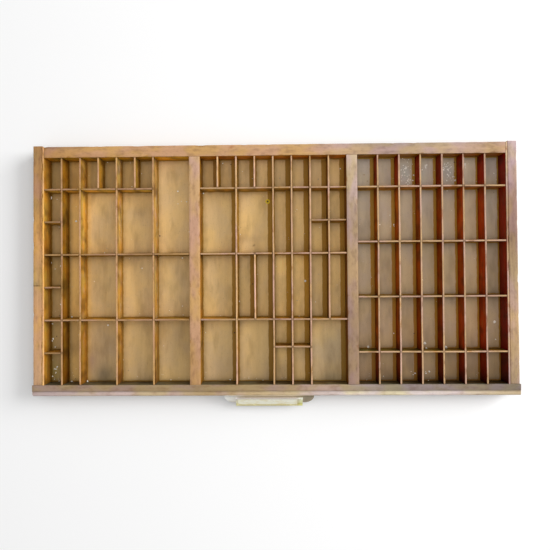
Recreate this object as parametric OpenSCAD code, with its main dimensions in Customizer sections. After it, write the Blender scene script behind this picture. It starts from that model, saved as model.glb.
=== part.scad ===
// Printer's type tray: a shallow three-bay case of halved wooden strips, with a label pull on its front rail.
// X runs to the right, Y to the back and Z up. The origin is the middle of the case's underside.

/* [Case] */
// Width over the side rails
case_w = 819; // [700:1:900]
// Depth from the back rail's outer face to the front rail's nose
case_d = 425; // [360:1:480]
// Height of the back rail, the front rail and the posts
case_h = 35; // [32:0.5:50]
// Thickness of the bottom panels
bottom_t = 6.4; // [4:0.1:8]
// Width of the rebate in the rails that holds the bottom panels
rebate_w = 8; // [6:0.5:10]
// Gap round each bottom panel
panel_gap = 0.2; // [0.1:0.05:0.5]

/* [Rails] */
// Thickness of the back rail
back_t = 18.9; // [14:0.1:22]
// Thickness of the side rails
side_t = 15.8; // [12:0.1:20]
// How far the side rails run past the back rail
side_horn = 1.7; // [0.2:0.1:4]
// How far the side rails lie below the other rails
side_drop = 0.8; // [0.2:0.1:2]
// Chamfer on the inner top edge of the side rails
side_chamfer = 1.4; // [0.5:0.1:2.5]
// Thickness of the lining strips inside the side rails
lining_t = 2.9; // [2:0.1:4]
// Thickness of the posts between the bays
post_t = 18.3; // [14:0.1:22]

/* [Front rail] */
// Thickness of the front rail, nose and all
front_t = 19; // [17:0.1:26]
// Width of the nose in front of the step
nose_w = 8.5; // [6:0.1:10]
// Height of the step down to the nose
nose_step = 1.5; // [0.5:0.1:3]
// Radius of the nose's front edge
nose_r = 3; // [1:0.5:5]
// How far the front rail stands out past each side rail
front_overhang = 2; // [0.2:0.1:4]

/* [Strips] */
// Thickness of the strips
strip_t = 2.8; // [2:0.1:4]
// How far the strips lie below the rails
strip_drop = 0.8; // [0.2:0.1:2]
// Play between two halved strips, on each side
halving_play = 0.1; // [0.05:0.05:0.3]
// Distance of the odd stub in the middle bay from the cross strip behind it
odd_stub_gap = 46.5; // [20:0.5:50]

/* [Pull] */
// Place of the pull's middle, to the right of the case's middle
pull_x = -9; // [-60:1:60]
// Distance from the nose's rounded edge down to the top of the pull
pull_down = 0.5; // [0.2:0.1:2]
// Height of the hood
pull_h = 24; // [20:0.5:26]
// Width over the hood's wings
pull_w = 152; // [136:1:160]
// Width of the hood's flat face
face_w = 120; // [116:1:126]
// How far the hood stands out
hood_out = 15.5; // [12:0.5:18]
// Thickness of the hood's metal
hood_t = 1.6; // [1:0.1:2.2]
// Slope of the hood's face and the label holder, from level
face_slope = 43; // [35:1:48]
// Width over the two screw ears
ears_w = 186; // [182:1:200]
// Height of the screw ears
ear_h = 15; // [12:0.5:18]
// Diameter of the screws' shanks
screw_d = 3; // [2:0.1:4]
// Diameter of the screws' heads
screw_head_d = 6; // [5:0.1:7]
// Height of the screws' domed heads
screw_head_h = 1.8; // [1.2:0.1:2.5]
// Width and depth of the slot in the screws' heads
screw_slot = 0.8; // [0.4:0.1:1]
// Length of the screws behind their heads
screw_l = 14; // [8:0.5:15]

/* [Label holder] */
// Width of the label holder
holder_w = 114; // [108:1:116]
// Height of the label holder, measured along the slope
holder_h = 22.6; // [18:0.1:24]
// Distance from the hood's top edge to the label holder, along the slope
holder_down = 2.4; // [1:0.1:4]
// Thickness of the label holder's brass
holder_t = 0.9; // [0.6:0.1:1.2]
// Width of the lips that keep the card in
lip_w = 2.6; // [1.5:0.1:3.5]
// Length of the card
card_l = 102; // [90:1:106]
// Thickness of the card
card_t = 0.5; // [0.3:0.05:0.8]
// Play of the card in its holder, on each side
card_play = 0.15; // [0.1:0.05:0.25]
// Place of the card's middle, to the right of the holder's middle
card_x = -3; // [-4:0.5:4]

/* [Nails] */
// Diameter of the frame nails' shanks
nail_d = 2; // [1.4:0.1:2.6]
// Diameter of the frame nails' heads
nail_head_d = 4.6; // [3.5:0.1:5]
// Length of the frame nails
nail_l = 45; // [38:1:55]
// Diameter of the bottom brads' shanks
brad_d = 1.6; // [1.2:0.1:2]
// Diameter of the bottom brads' heads
brad_head_d = 3.4; // [2.6:0.1:4]
// Length of the bottom brads
brad_l = 18; // [14:1:22]
// Thickness of the heads of nails and brads
nail_head_t = 0.8; // [0.5:0.1:1.2]
// Room round nails, brads and screws in their holes
nail_fit = 0.04; // [0.02:0.01:0.1]
// Brads along the front rail, and along the back rail
edge_brads = 8; // [4:1:12]
// Brads along each side rail, and along each edge under a post
side_brads = 3; // [2:1:6]

/* [Hidden] */
round_fn = 32;
// How far a cutting shape runs past the face that it cuts
past = 1;

// Wood and metal colours
rail_wood = [0.72, 0.57, 0.42];
side_wood = [0.68, 0.54, 0.41];
lining_wood = [0.82, 0.68, 0.52];
front_wood = [0.66, 0.57, 0.47];
strip_wood = [0.78, 0.63, 0.47];
floor_wood = [0.72, 0.58, 0.38];
grey_floor_wood = [0.58, 0.51, 0.43];
bronze = [0.36, 0.31, 0.24];
brass = [0.72, 0.66, 0.30];
card_paper = [0.93, 0.92, 0.88];
iron = [0.33, 0.30, 0.27];

// Planes of the frame: outer face, face between side rail and lining, inner face
x_out = case_w / 2;
x_lining = x_out - side_t;
x_in = x_lining - lining_t;
y_back = case_d / 2;
y_front = -case_d / 2;
y_in_back = y_back - back_t;
y_in_front = y_front + front_t;
inner_d = y_in_back - y_in_front;
strip_h = case_h - bottom_t - strip_drop;
nose_z = case_h - nose_step;

// The bays, from left to right. Each counts its columns in units and its rows in half rows.
UNITS = [8, 8, 7];
HALF_ROWS = 7;
bay_w = (2 * x_in - 2 * post_t) / 3;
half_row = (inner_d + strip_t) / HALF_ROWS;
function bay_x(bay) = -x_in + bay * (bay_w + post_t);
function unit_w(bay) = (bay_w + strip_t) / UNITS[bay];
// Middle of column line k of a bay, and of row line j, counted from the back
function line_x(bay, k) = bay_x(bay) - strip_t / 2 + k * unit_w(bay);
function line_y(j) = y_in_back + strip_t / 2 - j * half_row;

// Strips that run front to back: name, bay, column line, first and last row line
LONGS = [
    ["left_long_strip_1", 0, 1, 0, 7],
    ["left_long_strip_2", 0, 2, 0, 7],
    ["left_short_strip_3", 0, 3, 0, 1],
    ["left_long_strip_4", 0, 4, 0, 7],
    ["left_short_strip_5", 0, 5, 0, 1],
    ["left_long_strip_6", 0, 6, 0, 7],
    ["middle_short_strip_1", 1, 1, 0, 1],
    ["middle_long_strip_2", 1, 2, 0, 7],
    ["middle_short_strip_3_back", 1, 3, 0, 1],
    ["middle_short_strip_3_front", 1, 3, 3, 5],
    ["middle_long_strip_4", 1, 4, 0, 7],
    ["middle_long_strip_5", 1, 5, 0, 7],
    ["middle_long_strip_6", 1, 6, 0, 7],
    ["middle_long_strip_7", 1, 7, 0, 5],
    for (k = [1 : 6]) [str("right_long_strip_", k), 2, k, 0, 7]
];

// Row line of the odd stub in the middle bay
odd_row = 5 + odd_stub_gap / half_row;

// Strips that run across: name, bay, row line, first and last column line. The right bay's three middle rows are alike.
CROSSES = [
    ["left_cross_strip_1", 0, 1, 0, 6],
    ["left_cross_strip_2", 0, 3, 0, 8],
    ["left_cross_strip_3", 0, 5, 0, 8],
    for (i = [1 : 3]) [str("left_stub_", i), 0, 2 * i, 0, 1],
    for (i = [1 : 3]) [str("middle_cross_strip_", i), 1, 2 * i - 1, 0, 8],
    ["middle_stub_back", 1, 2, 6, 8],
    ["middle_stub_front", 1, odd_row, 4, 6],
    for (i = [0 : 3]) [str("right_cross_strip_", i + 1), 2, 1 + i * 5 / 3, 0, 7]
];

// Ends of a strip: at the wall of the bay, or at the face of the strip on that line
function long_back(s) = s[3] == 0 ? y_in_back : line_y(s[3]) - strip_t / 2;
function long_front(s) = s[4] == HALF_ROWS ? y_in_front : line_y(s[4]) + strip_t / 2;
function cross_left(s) = s[3] == 0 ? bay_x(s[1]) : line_x(s[1], s[3]) + strip_t / 2;
function cross_right(s) = s[4] == UNITS[s[1]] ? bay_x(s[1]) + bay_w : line_x(s[1], s[4]) - strip_t / 2;
function are_halved(l, c) = l[1] == c[1] && c[3] < l[2] && l[2] < c[4] && l[3] < c[2] && c[2] < l[4];

// The pull, drawn with x out from the nose, y across and z up from its top edge
pull_z = nose_z - nose_r - pull_down;
face_start = hood_t;
screw_x = ears_w / 2 - ear_h / 2;
card_slot = card_t + 2 * card_play;
card_h = holder_h - 2 * holder_t - 2 * card_play;

// Nails and brads: x of the side rails' and posts' middles, and the two heights of the frame nails
side_x = [-(x_out - side_t / 2), x_out - side_t / 2];
post_x = [-(bay_w + post_t) / 2, (bay_w + post_t) / 2];
nail_z = [for (share = [0.28, 0.7]) bottom_t + share * (case_h - bottom_t)];
brad_end = 36;

// A box between two corners
module block(low, high) {
    translate(low) cube(high - low);
}

// A nail driven from the origin along -Z, its flat head flush. With room it is the hole for that nail.
module nail(shank_d, head_d, length, room = 0) {
    translate([0, 0, -length - room]) cylinder(d = shank_d + 2 * room, h = length, $fn = round_fn);
    translate([0, 0, -nail_head_t - room])
        cylinder(d = head_d + 2 * room, h = nail_head_t + (room > 0 ? past : 0), $fn = round_fn);
}

// Nails from the nose back into the side rails and the posts
module front_nail_set(room = 0) {
    for (x = concat(side_x, post_x), z = nail_z)
        translate([x, y_front, z]) rotate([90, 0, 0]) nail(nail_d, nail_head_d, nail_l, room);
}

// Nails through the side rails and linings into the ends of the back rail
module side_nail_set(room = 0) {
    for (side = [-1, 1], z = nail_z)
        translate([side * x_out, y_back - back_t / 2, z])
            rotate([0, side * 90, 0]) nail(nail_d, nail_head_d, nail_l, room);
}

// Nails through the back rail into the posts
module back_nail_set(room = 0) {
    for (x = post_x, z = nail_z)
        translate([x, y_back, z]) rotate([-90, 0, 0]) nail(nail_d, nail_head_d, nail_l, room);
}

// Brads up through the edges of the bottom panels, into the rails and both sides of the posts
module brad_set(room = 0) {
    reach = x_lining - brad_end;
    for (i = [0 : edge_brads - 1], y = [y_in_back + rebate_w / 2, y_in_front - rebate_w / 2])
        brad_at(-reach + 2 * reach * i / (edge_brads - 1), y, room);
    for (i = [1 : side_brads], side = [-1, 1]) {
        y = y_in_front + i * inner_d / (side_brads + 1);
        brad_at(side * (x_lining + rebate_w / 2), y, room);
        for (x = post_x) brad_at(x + side * post_t / 4, y, room);
    }
}

module brad_at(x, y, room) {
    translate([x, y, 0]) rotate([180, 0, 0]) nail(brad_d, brad_head_d, brad_l, room);
}

// The rebate for the bottom panels, cut from below
module bottom_rebate() {
    block(
        [-x_lining - rebate_w, y_in_front - rebate_w, -past],
        [x_lining + rebate_w, y_in_back + rebate_w, bottom_t]
    );
}

module back_rail() {
    color(rail_wood) difference() {
        block([-x_in, y_in_back, 0], [x_in, y_back, case_h]);
        bottom_rebate();
        side_nail_set(nail_fit);
        back_nail_set(nail_fit);
        brad_set(nail_fit);
    }
}

// A side rail runs from the front rail past the back rail, with its inner top edge chamfered
module side_rail(side) {
    top = case_h - side_drop;
    rail_l = y_back + side_horn - y_in_front;
    profile = [
        [x_out, 0],
        [x_out, top],
        [x_lining + side_chamfer, top],
        [x_lining, top - side_chamfer],
        [x_lining, 0]
    ];
    color(side_wood) difference() {
        translate([0, y_in_front + rail_l, 0]) rotate([90, 0, 0])
            linear_extrude(height = rail_l) polygon([for (p = profile) [side * p[0], p[1]]]);
        bottom_rebate();
        front_nail_set(nail_fit);
        side_nail_set(nail_fit);
        brad_set(nail_fit);
    }
}

// A lining strip runs the whole length inside its side rail, and stands proud of it
module lining_strip(side) {
    color(lining_wood) difference() {
        block(
            [side > 0 ? x_in : -x_lining, y_in_front, 0],
            [side > 0 ? x_lining : -x_in, y_back, case_h]
        );
        bottom_rebate();
        side_nail_set(nail_fit);
    }
}

// Round front edge of the nose, from its face up to its top
function nose_arc(steps = 8) = [
    for (i = [0 : steps]) let (a = 90 * i / steps)
        [y_front + nose_r * (1 - cos(a)), nose_z - nose_r * (1 - sin(a))]
];

// The front rail: a flat inner band, a step down and a round-edged nose
module front_rail() {
    half_w = x_out + front_overhang;
    profile = concat(
        [[y_in_front, 0], [y_front, 0]],
        nose_arc(),
        [[y_front + nose_w, nose_z], [y_front + nose_w, case_h], [y_in_front, case_h]]
    );
    color(front_wood) difference() {
        translate([-half_w, 0, 0]) rotate([90, 0, 90]) linear_extrude(height = 2 * half_w) polygon(profile);
        bottom_rebate();
        front_nail_set(nail_fit);
        brad_set(nail_fit);
        on_nose() screw_pair(nail_fit);
    }
}

// A post between two bays
module post(x) {
    color(rail_wood) difference() {
        block([x - post_t / 2, y_in_front, bottom_t], [x + post_t / 2, y_in_back, case_h]);
        front_nail_set(nail_fit);
        back_nail_set(nail_fit);
        brad_set(nail_fit);
    }
}

// The bottom panel of a bay. The panels meet under the middles of the posts.
module bottom_panel(bay) {
    left = bay == 0 ? -x_lining - rebate_w + panel_gap : post_x[bay - 1] + panel_gap / 2;
    right = bay == 2 ? x_lining + rebate_w - panel_gap : post_x[bay] - panel_gap / 2;
    color(bay == 2 ? grey_floor_wood : floor_wood) difference() {
        block(
            [left, y_in_front - rebate_w + panel_gap, 0],
            [right, y_in_back + rebate_w - panel_gap, bottom_t]
        );
        brad_set(nail_fit);
    }
}

// A strip that runs front to back, notched from below where it crosses another
module long_strip(s) {
    x = line_x(s[1], s[2]);
    color(strip_wood) difference() {
        block(
            [x - strip_t / 2, long_front(s), bottom_t],
            [x + strip_t / 2, long_back(s), bottom_t + strip_h]
        );
        for (c = CROSSES) if (are_halved(s, c))
            translate([x, line_y(c[2]), bottom_t])
                cube([strip_t + past, strip_t + 2 * halving_play, strip_h + 2 * halving_play], center = true);
    }
}

// A strip that runs across, notched from above where it crosses another
module cross_strip(s) {
    y = line_y(s[2]);
    color(strip_wood) difference() {
        block(
            [cross_left(s), y - strip_t / 2, bottom_t],
            [cross_right(s), y + strip_t / 2, bottom_t + strip_h]
        );
        for (l = LONGS) if (are_halved(l, s))
            translate([line_x(l[1], l[2]), y, bottom_t + strip_h])
                cube([strip_t + 2 * halving_play, strip_t + past, strip_h + 2 * halving_play], center = true);
    }
}

// Puts the pull's pieces on the nose
module on_nose() {
    translate([pull_x, y_front, pull_z]) rotate([0, 0, -90]) children();
}

// Turns a piece of the pull so that x runs down the hood's slope and z stands out from it
module on_face() {
    translate([face_start, 0, 0]) rotate([0, face_slope, 0]) children();
}

// A slice of the hood, half_w to each side of its middle and standing out to x = out
module hood_slice(half_w, out) {
    rotate([90, 0, 0]) linear_extrude(height = 2 * half_w, center = true) polygon([
        [0, 0],
        [face_start, 0],
        [out, -(out - face_start) * tan(face_slope)],
        [out, -pull_h],
        [0, -pull_h]
    ]);
}

// The same slice of the finger space inside the hood, one metal thickness in
module finger_slice(half_w, out) {
    skin = hood_t / cos(face_slope);
    ceiling = (out - face_start) * tan(face_slope) + skin;
    level = face_start - (skin - hood_t) / tan(face_slope);
    rotate([90, 0, 0]) linear_extrude(height = 2 * half_w, center = true) polygon([
        [-past, -hood_t],
        [min(level, out), -hood_t],
        [out, -max(ceiling, hood_t)],
        [out, -pull_h - past],
        [-past, -pull_h - past]
    ]);
}

// The hood: a sloping face with a rounded wing at each end, open behind and below, and two ears for the screws
module pull_hood() {
    wing_w = (pull_w - face_w) / 2;
    turns = [0 : 22.5 : 90];
    color(bronze) on_nose() difference() {
        union() {
            hull() for (a = turns)
                hood_slice(face_w / 2 + wing_w * sin(a), face_start + 0.1 + (hood_out - face_start - 0.1) * cos(a));
            rotate([90, 0, 90]) linear_extrude(height = hood_t) union() {
                translate([0, -pull_h / 2]) square([2 * screw_x, ear_h], center = true);
                for (side = [-1, 1]) translate([side * screw_x, -pull_h / 2]) circle(d = ear_h, $fn = 48);
            }
        }
        hull() for (a = turns)
            finger_slice(face_w / 2 + (wing_w - hood_t) * sin(a), 0.1 + (hood_out - hood_t - 0.1) * cos(a));
        screw_pair(nail_fit);
    }
}

// The pull's two wood screws. With room they are their own holes.
module screw_pair(room = 0) {
    for (side = [-1, 1]) translate([hood_t, side * screw_x, -pull_h / 2]) rotate([0, 90, 0]) {
        translate([0, 0, -screw_l - room])
            cylinder(d = screw_d + 2 * room, h = screw_l + 2 * room, $fn = round_fn);
        if (room == 0) screw_head();
    }
}

// A domed, slotted screw head that sits on the ear
module screw_head() {
    dome_r = (pow(screw_head_d / 2, 2) + pow(screw_head_h, 2)) / (2 * screw_head_h);
    steps = 6;
    reach = asin(screw_head_d / 2 / dome_r);
    dome = [for (i = [0 : steps]) let (a = reach * i / steps)
        [dome_r * sin(a), dome_r * cos(a) - dome_r + screw_head_h]];
    difference() {
        rotate_extrude($fn = round_fn) polygon(concat([[0, 0]], dome));
        translate([0, 0, screw_head_h]) cube([screw_slot, screw_head_d, 2 * screw_slot], center = true);
    }
}

// The label holder: a brass channel on the hood's face, with a lip above and below and open ends
module label_holder() {
    deep = 2 * holder_t + card_slot;
    color(brass) on_nose() on_face() translate([holder_down, 0, 0]) rotate([90, 0, 0])
        linear_extrude(height = holder_w, center = true) polygon([
            [0, 0],
            [holder_h, 0],
            [holder_h, deep],
            [holder_h - lip_w, deep],
            [holder_h - lip_w, deep - holder_t],
            [holder_h - holder_t, deep - holder_t],
            [holder_h - holder_t, holder_t],
            [holder_t, holder_t],
            [holder_t, deep - holder_t],
            [lip_w, deep - holder_t],
            [lip_w, deep],
            [0, deep]
        ]);
}

// The card that slides in the label holder
module label_card() {
    color(card_paper) on_nose() on_face()
        translate([holder_down + holder_t + card_play, card_x - card_l / 2, holder_t + card_play])
            cube([card_h, card_l, card_t]);
}

back_rail();
side_rail(-1);  // left_side_rail
side_rail(1);  // right_side_rail
lining_strip(-1);  // left_lining_strip
lining_strip(1);  // right_lining_strip
front_rail();
post(post_x[0]);  // left_post
post(post_x[1]);  // right_post
bottom_panel(0);  // left_bottom_panel
bottom_panel(1);  // middle_bottom_panel
bottom_panel(2);  // right_bottom_panel
for (s = LONGS) long_strip(s);
for (s = CROSSES) cross_strip(s);
pull_hood();
label_holder();
label_card();
color(iron) on_nose() screw_pair();  // pull_screws
color(iron) front_nail_set();  // front_nails
color(iron) side_nail_set();  // side_nails
color(iron) back_nail_set();  // back_nails
color(iron) brad_set();  // bottom_brads
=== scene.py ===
# %% [markdown]
# # A printer's type tray
# The tray is a shallow drawer of varnished softwood. Three bays stand between four rails and two posts, and
# thin strips that are halved into each other part the bays into 89 compartments. A bronzed pull with a
# label holder sits on its front. The construction comes from the packed frame, at its real size, so this
# lesson only dresses it: every board becomes a mesh with eased corners and wear, and every surface gets a
# material of its own.
#
# The frame is loaded first. Lengths below are written in millimetres and turned into Blender's metres by
# MM.

# %% Load the frame
import math
import random

import bmesh
import bpy
import numpy as np
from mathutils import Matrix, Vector


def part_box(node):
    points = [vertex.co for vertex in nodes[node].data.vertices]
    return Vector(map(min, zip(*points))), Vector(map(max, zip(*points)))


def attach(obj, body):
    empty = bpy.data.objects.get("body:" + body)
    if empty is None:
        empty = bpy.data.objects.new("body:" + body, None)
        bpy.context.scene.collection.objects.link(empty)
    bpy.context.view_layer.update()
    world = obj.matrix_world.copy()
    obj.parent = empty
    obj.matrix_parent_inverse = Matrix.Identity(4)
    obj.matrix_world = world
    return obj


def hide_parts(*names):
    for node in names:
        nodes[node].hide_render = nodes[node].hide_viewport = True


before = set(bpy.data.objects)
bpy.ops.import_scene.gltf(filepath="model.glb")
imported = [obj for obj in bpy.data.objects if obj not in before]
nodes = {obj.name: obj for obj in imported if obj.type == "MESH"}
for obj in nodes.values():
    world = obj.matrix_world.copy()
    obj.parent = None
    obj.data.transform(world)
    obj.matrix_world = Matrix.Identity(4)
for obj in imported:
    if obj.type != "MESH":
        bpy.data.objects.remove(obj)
scene = bpy.context.scene
MM = 0.001
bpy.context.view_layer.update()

# %% [markdown]
# ## The camera
# The tray was seen from straight above, a little off its middle and turned by under half a degree. Three
# things fix such a view: the focal length, the place of the lens, and the point of the frame that the lens
# looks at squarely. The last one becomes a small shift, as on a view camera, because turning the camera
# instead would make the tray narrower at one end.

# %% Set up the camera
FRAME_PX = 550
SENSOR_MM = 36
FOCAL_PX = 481
SQUARE_ON_PX = (266, 263)
LENS_AT_MM = (1.8, -0.3, 846.7)
TURNED_DEG = (0.8213, 1.0266, -0.4160)


def placed(name, data):
    """A new object of the scene."""
    made = bpy.data.objects.new(name, data)
    scene.collection.objects.link(made)
    return made


camera_data = bpy.data.cameras.new("overhead_camera")
camera_data.sensor_width = SENSOR_MM
camera_data.lens = FOCAL_PX * SENSOR_MM / FRAME_PX
camera_data.shift_x = (FRAME_PX / 2 - SQUARE_ON_PX[0]) / FRAME_PX
camera_data.shift_y = (SQUARE_ON_PX[1] - FRAME_PX / 2) / FRAME_PX
camera = placed("overhead_camera", camera_data)
camera.location = Vector(LENS_AT_MM) * MM
camera.rotation_euler = [math.radians(a) for a in TURNED_DEG]
scene.camera = camera
print(f"camera: lens {camera_data.lens:.2f} mm, shift {camera_data.shift_x:.4f}, {camera_data.shift_y:.4f}")

# %% [markdown]
# ## Small helpers for node trees
# Materials and Geometry Nodes trees are both node trees, so one helper adds a node, gives its sockets their
# values and joins it to the nodes before it. A Signal is a node's output that one can reckon with: each
# plus, minus or times on it adds one math node, so a material reads like a sum. Below the sums stand the
# few steps that all the materials share: a soft step, noise, one colour laid over another, and the last
# joints to the shader.

# %% Helpers for node trees
def plug(node, values):
    """Gives inputs their values. values maps a socket's name or number to a plain value or a signal."""
    for key, value in values.items():
        if isinstance(value, Signal):
            node.id_data.links.new(value.socket, node.inputs[key])
        else:
            node.inputs[key].default_value = value


def add(tree, kind, values=None, **settings):
    """Adds a node with its settings and its inputs' values."""
    made = tree.nodes.new(kind)
    for name, setting in settings.items():
        setattr(made, name, setting)
    plug(made, values or {})
    return made


class Signal:
    """An output of a node, picked by its name or number."""

    def __init__(self, node, output=0):
        self.socket = node.outputs[output]
        self.tree = node.id_data

    def sum(self, operation, *others, kind="Math", **settings):
        """The result of one sum on this signal and others."""
        values = dict(enumerate((self, *others)))
        return Signal(add(self.tree, "ShaderNode" + kind, values, operation=operation, **settings))

    def __add__(self, other):
        return self.sum("ADD", other)

    def __sub__(self, other):
        return self.sum("SUBTRACT", other)

    def __mul__(self, other):
        return self.sum("MULTIPLY", other)

    def held(self):
        """This number, kept between 0 and 1."""
        return self.sum("ADD", 0.0, use_clamp=True)

    def plus(self, other):
        """This vector with another one added."""
        return self.sum("ADD", other, kind="VectorMath")

    def times(self, other):
        """This vector multiplied by another one, axis by axis."""
        return self.sum("MULTIPLY", other, kind="VectorMath")

    def scaled(self, factor):
        """This vector made longer or shorter."""
        return Signal(add(self.tree, "ShaderNodeVectorMath", {0: self, "Scale": factor}, operation="SCALE"))

    def parts(self):
        """The three numbers of this vector."""
        node = add(self.tree, "ShaderNodeSeparateXYZ", {0: self})
        return [Signal(node, i) for i in range(3)]


def joined(tree, x=0.0, y=0.0, z=0.0, kind="XYZ"):
    """A vector of three numbers, or a colour where kind says Color."""
    return Signal(add(tree, "ShaderNodeCombine" + kind, {0: x, 1: y, 2: z}))


def fade(value, start, end, low=0.0, high=1.0):
    """A soft step: low where value is at start, high where it is at end."""
    limits = {"Value": value, "From Min": start, "From Max": end, "To Min": low, "To Max": high}
    return Signal(add(value.tree, "ShaderNodeMapRange", limits, interpolation_type="SMOOTHSTEP"))


print("signals:", ", ".join(name for name in vars(Signal) if not name.startswith("__")))

# %% Helpers for materials
def noise(place, scale, detail=2.0, roughness=0.5, distortion=0.0, output=0):
    """Soft noise around one half. scale is one number, or one for each axis."""
    if isinstance(scale, tuple):
        place, scale = place.times(scale), 1.0
    values = {"Vector": place, "Scale": scale, "Detail": detail, "Roughness": roughness}
    node = add(place.tree, "ShaderNodeTexNoise", {**values, "Distortion": distortion})
    return Signal(node, output)


def patches(place, scale, detail, roughness, start, end):
    """Noise turned into patches by a soft step."""
    return fade(noise(place, scale, detail, roughness), start, end)


def mixed(amount, first, second, how="MIX"):
    """One colour laid over another. Each colour is a signal or three numbers."""
    tree = next(v.tree for v in (amount, first, second) if isinstance(v, Signal))
    values = {0: amount, 6: first, 7: second}
    values = {key: (*v, 1.0) if isinstance(v, tuple) else v for key, v in values.items()}
    return Signal(add(tree, "ShaderNodeMix", values, data_type="RGBA", blend_type=how), 2)


def tinted(colour, tint):
    """One colour multiplied by another."""
    return mixed(1.0, colour, tint, "MULTIPLY")


def attribute(tree, name, output="Fac"):
    """What the mesh's points carry under a name: a number, or a colour where output says Color."""
    return Signal(add(tree, "ShaderNodeAttribute", attribute_name=name), output)


def new_paint(name):
    """A material and its shader."""
    paint = bpy.data.materials.new(name)
    paint.use_nodes = True
    return paint, paint.node_tree.nodes["Principled BSDF"]


def place_mm(tree):
    """The place on the object in mm."""
    return Signal(add(tree, "ShaderNodeTexCoord"), "Object").scaled(1 / MM)


def dress(shader, colour, roughness, relief, strength=0.25, depth=0.2, shine=0.5):
    """Joins colour, roughness and relief to the shader. depth is in mm, and shine is the specular level."""
    values = {"Strength": strength, "Distance": depth * MM, "Height": relief}
    bump = Signal(add(shader.id_data, "ShaderNodeBump", values))
    plug(shader, {"Base Color": colour, "Roughness": roughness, "Normal": bump, "Specular IOR Level": shine})


print("material helpers ready")

# %% [markdown]
# ## Floor and light
# The tray lies on a white sheet under soft studio light. The fill comes evenly from all round. One large
# softbox hangs overhead, and a second one stands to the right and a little behind, so the walls that face
# right are lit, the walls that face left stay dark, and the shadow lies to the left and in front. Where the
# camera looks past the sheet it sees plain white, but the fill keeps its own strength.

# %% Lay the floor and hang the lights
FILL = 0.38
SHEET_WHITE = 0.91
SHEET_HALF = 1.8
LAMPS = {
    "overhead_softbox": (41, (0.55, 0.16, 2.95), 3.0),
    "side_softbox": (262, (4.24, 1.54, 2.16), 3.0),
}

scene.view_settings.view_transform = "Standard"
world = bpy.data.worlds.new("studio")
scene.world = world
world.use_nodes = True
seen_directly = Signal(add(world.node_tree, "ShaderNodeLightPath"), "Is Camera Ray")
sky = {"Color": (1.0, 1.0, 1.0, 1.0), "Strength": fade(seen_directly, 0.0, 1.0, FILL, 1.0)}
plug(world.node_tree.nodes["Background"], sky)

for lamp_name, (power, at, size) in LAMPS.items():
    lamp_data = bpy.data.lights.new(lamp_name, "AREA")
    lamp_data.energy = power
    lamp_data.size = size
    lamp = placed(lamp_name, lamp_data)
    lamp.location = at
    lamp.rotation_euler = Vector(at).to_track_quat("Z", "Y").to_euler()

sheet_mesh = bpy.data.meshes.new("white_sheet")
sheet_corners = [(x * SHEET_HALF, y * SHEET_HALF, 0) for x, y in ((-1, -1), (1, -1), (1, 1), (-1, 1))]
sheet_mesh.from_pydata(sheet_corners, [], [(0, 1, 2, 3)])
sheet = placed("white_sheet", sheet_mesh)
sheet_paint, sheet_shader = new_paint("white_sheet")
plug(sheet_shader, {"Base Color": (*[SHEET_WHITE] * 3, 1.0), "Roughness": 0.9, "Specular IOR Level": 0.0})
sheet_mesh.materials.append(sheet_paint)
print(f"floor and lights: fill {FILL}, {len(LAMPS)} softboxes")

# %% [markdown]
# ## The figure of wood
# Wood is straw-like fibres wrapped in yearly rings. Three scales show on a board: broad bands where the saw
# met the rings, fine streaks of fibre, and blotches where the varnish soaked in unevenly. All three are
# noise that is pulled long in the direction of the grain. The bands are the level lines of a slow noise,
# which gives the pointed arches of sawn boards. A number that each piece carries moves it to its own part
# of the pattern.

# %% Node group: wood figure
def make_figure_group():
    """The pattern of wood for coordinates in millimetres whose second axis runs along the grain."""
    group = bpy.data.node_groups.new("wood_figure", "ShaderNodeTree")
    group.interface.new_socket("Place", in_out="INPUT", socket_type="NodeSocketVector")
    for name in ("Bands", "Fibre", "Pores", "Blotch"):
        group.interface.new_socket(name, in_out="OUTPUT", socket_type="NodeSocketFloat")
    place = Signal(add(group, "NodeGroupInput"))
    bands = (noise(place, (0.045, 0.0035, 0.045), 2.0, 0.45) * 46.0).sum("SINE") * 0.5 + 0.5
    fibre = noise(place, (1.1, 0.035, 1.1), 3.0, 0.6)
    pores = patches(place, (2.6, 0.16, 2.6), 1.0, 0.5, 0.62, 0.72)
    blotch = noise(place, (0.03, 0.011, 0.03), 3.0, 0.55)
    add(group, "NodeGroupOutput", {"Bands": bands, "Fibre": fibre, "Pores": pores, "Blotch": blotch})
    return group


def figure_at(place):
    """The four outputs of the wood figure: bands, fibre, pores and blotch."""
    node = add(place.tree, "ShaderNodeGroup", node_tree=figure_group)
    plug(node, {0: place})
    return [Signal(node, i) for i in range(4)]


figure_group = make_figure_group()
print(f"wood figure: {len(figure_group.nodes)} nodes")

# %% [markdown]
# ## Old varnished wood
# A type tray is handled for decades. Its varnish has darkened to amber on the walls, has worn off the tops
# of the strips down to pale wood, and dirt has gathered along the feet of the walls. The material lays
# these over each other: varnished wood, bare wood near the top, painted shade that deepens towards the
# floor, and dirt near the floor. Height is simply the object's own Z, since every piece keeps its place in
# the tray. Painted marks come in as attributes of the mesh's points.

# %% Material: old wood
FLOOR_Z = 6.4
RAIL_TOP_Z = 35.0
OLIVE = (0.94, 1.05, 1.25)
AMBER = (1.06, 0.96, 0.8)
STRAW = (1.02, 1.0, 0.84)
ROSE = (1.0, 0.96, 1.16)
DARK_VARNISH = (0.07, 0.024, 0.004)
GRUBBY = (0.20, 0.10, 0.05)
PORE = (0.05, 0.02, 0.008)
SHADE = (0.03, 0.010, 0.002)
DIRT = (0.22, 0.10, 0.014)
GRIME_AND_SHADE = (0.07, 0.033, 0.010)


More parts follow.
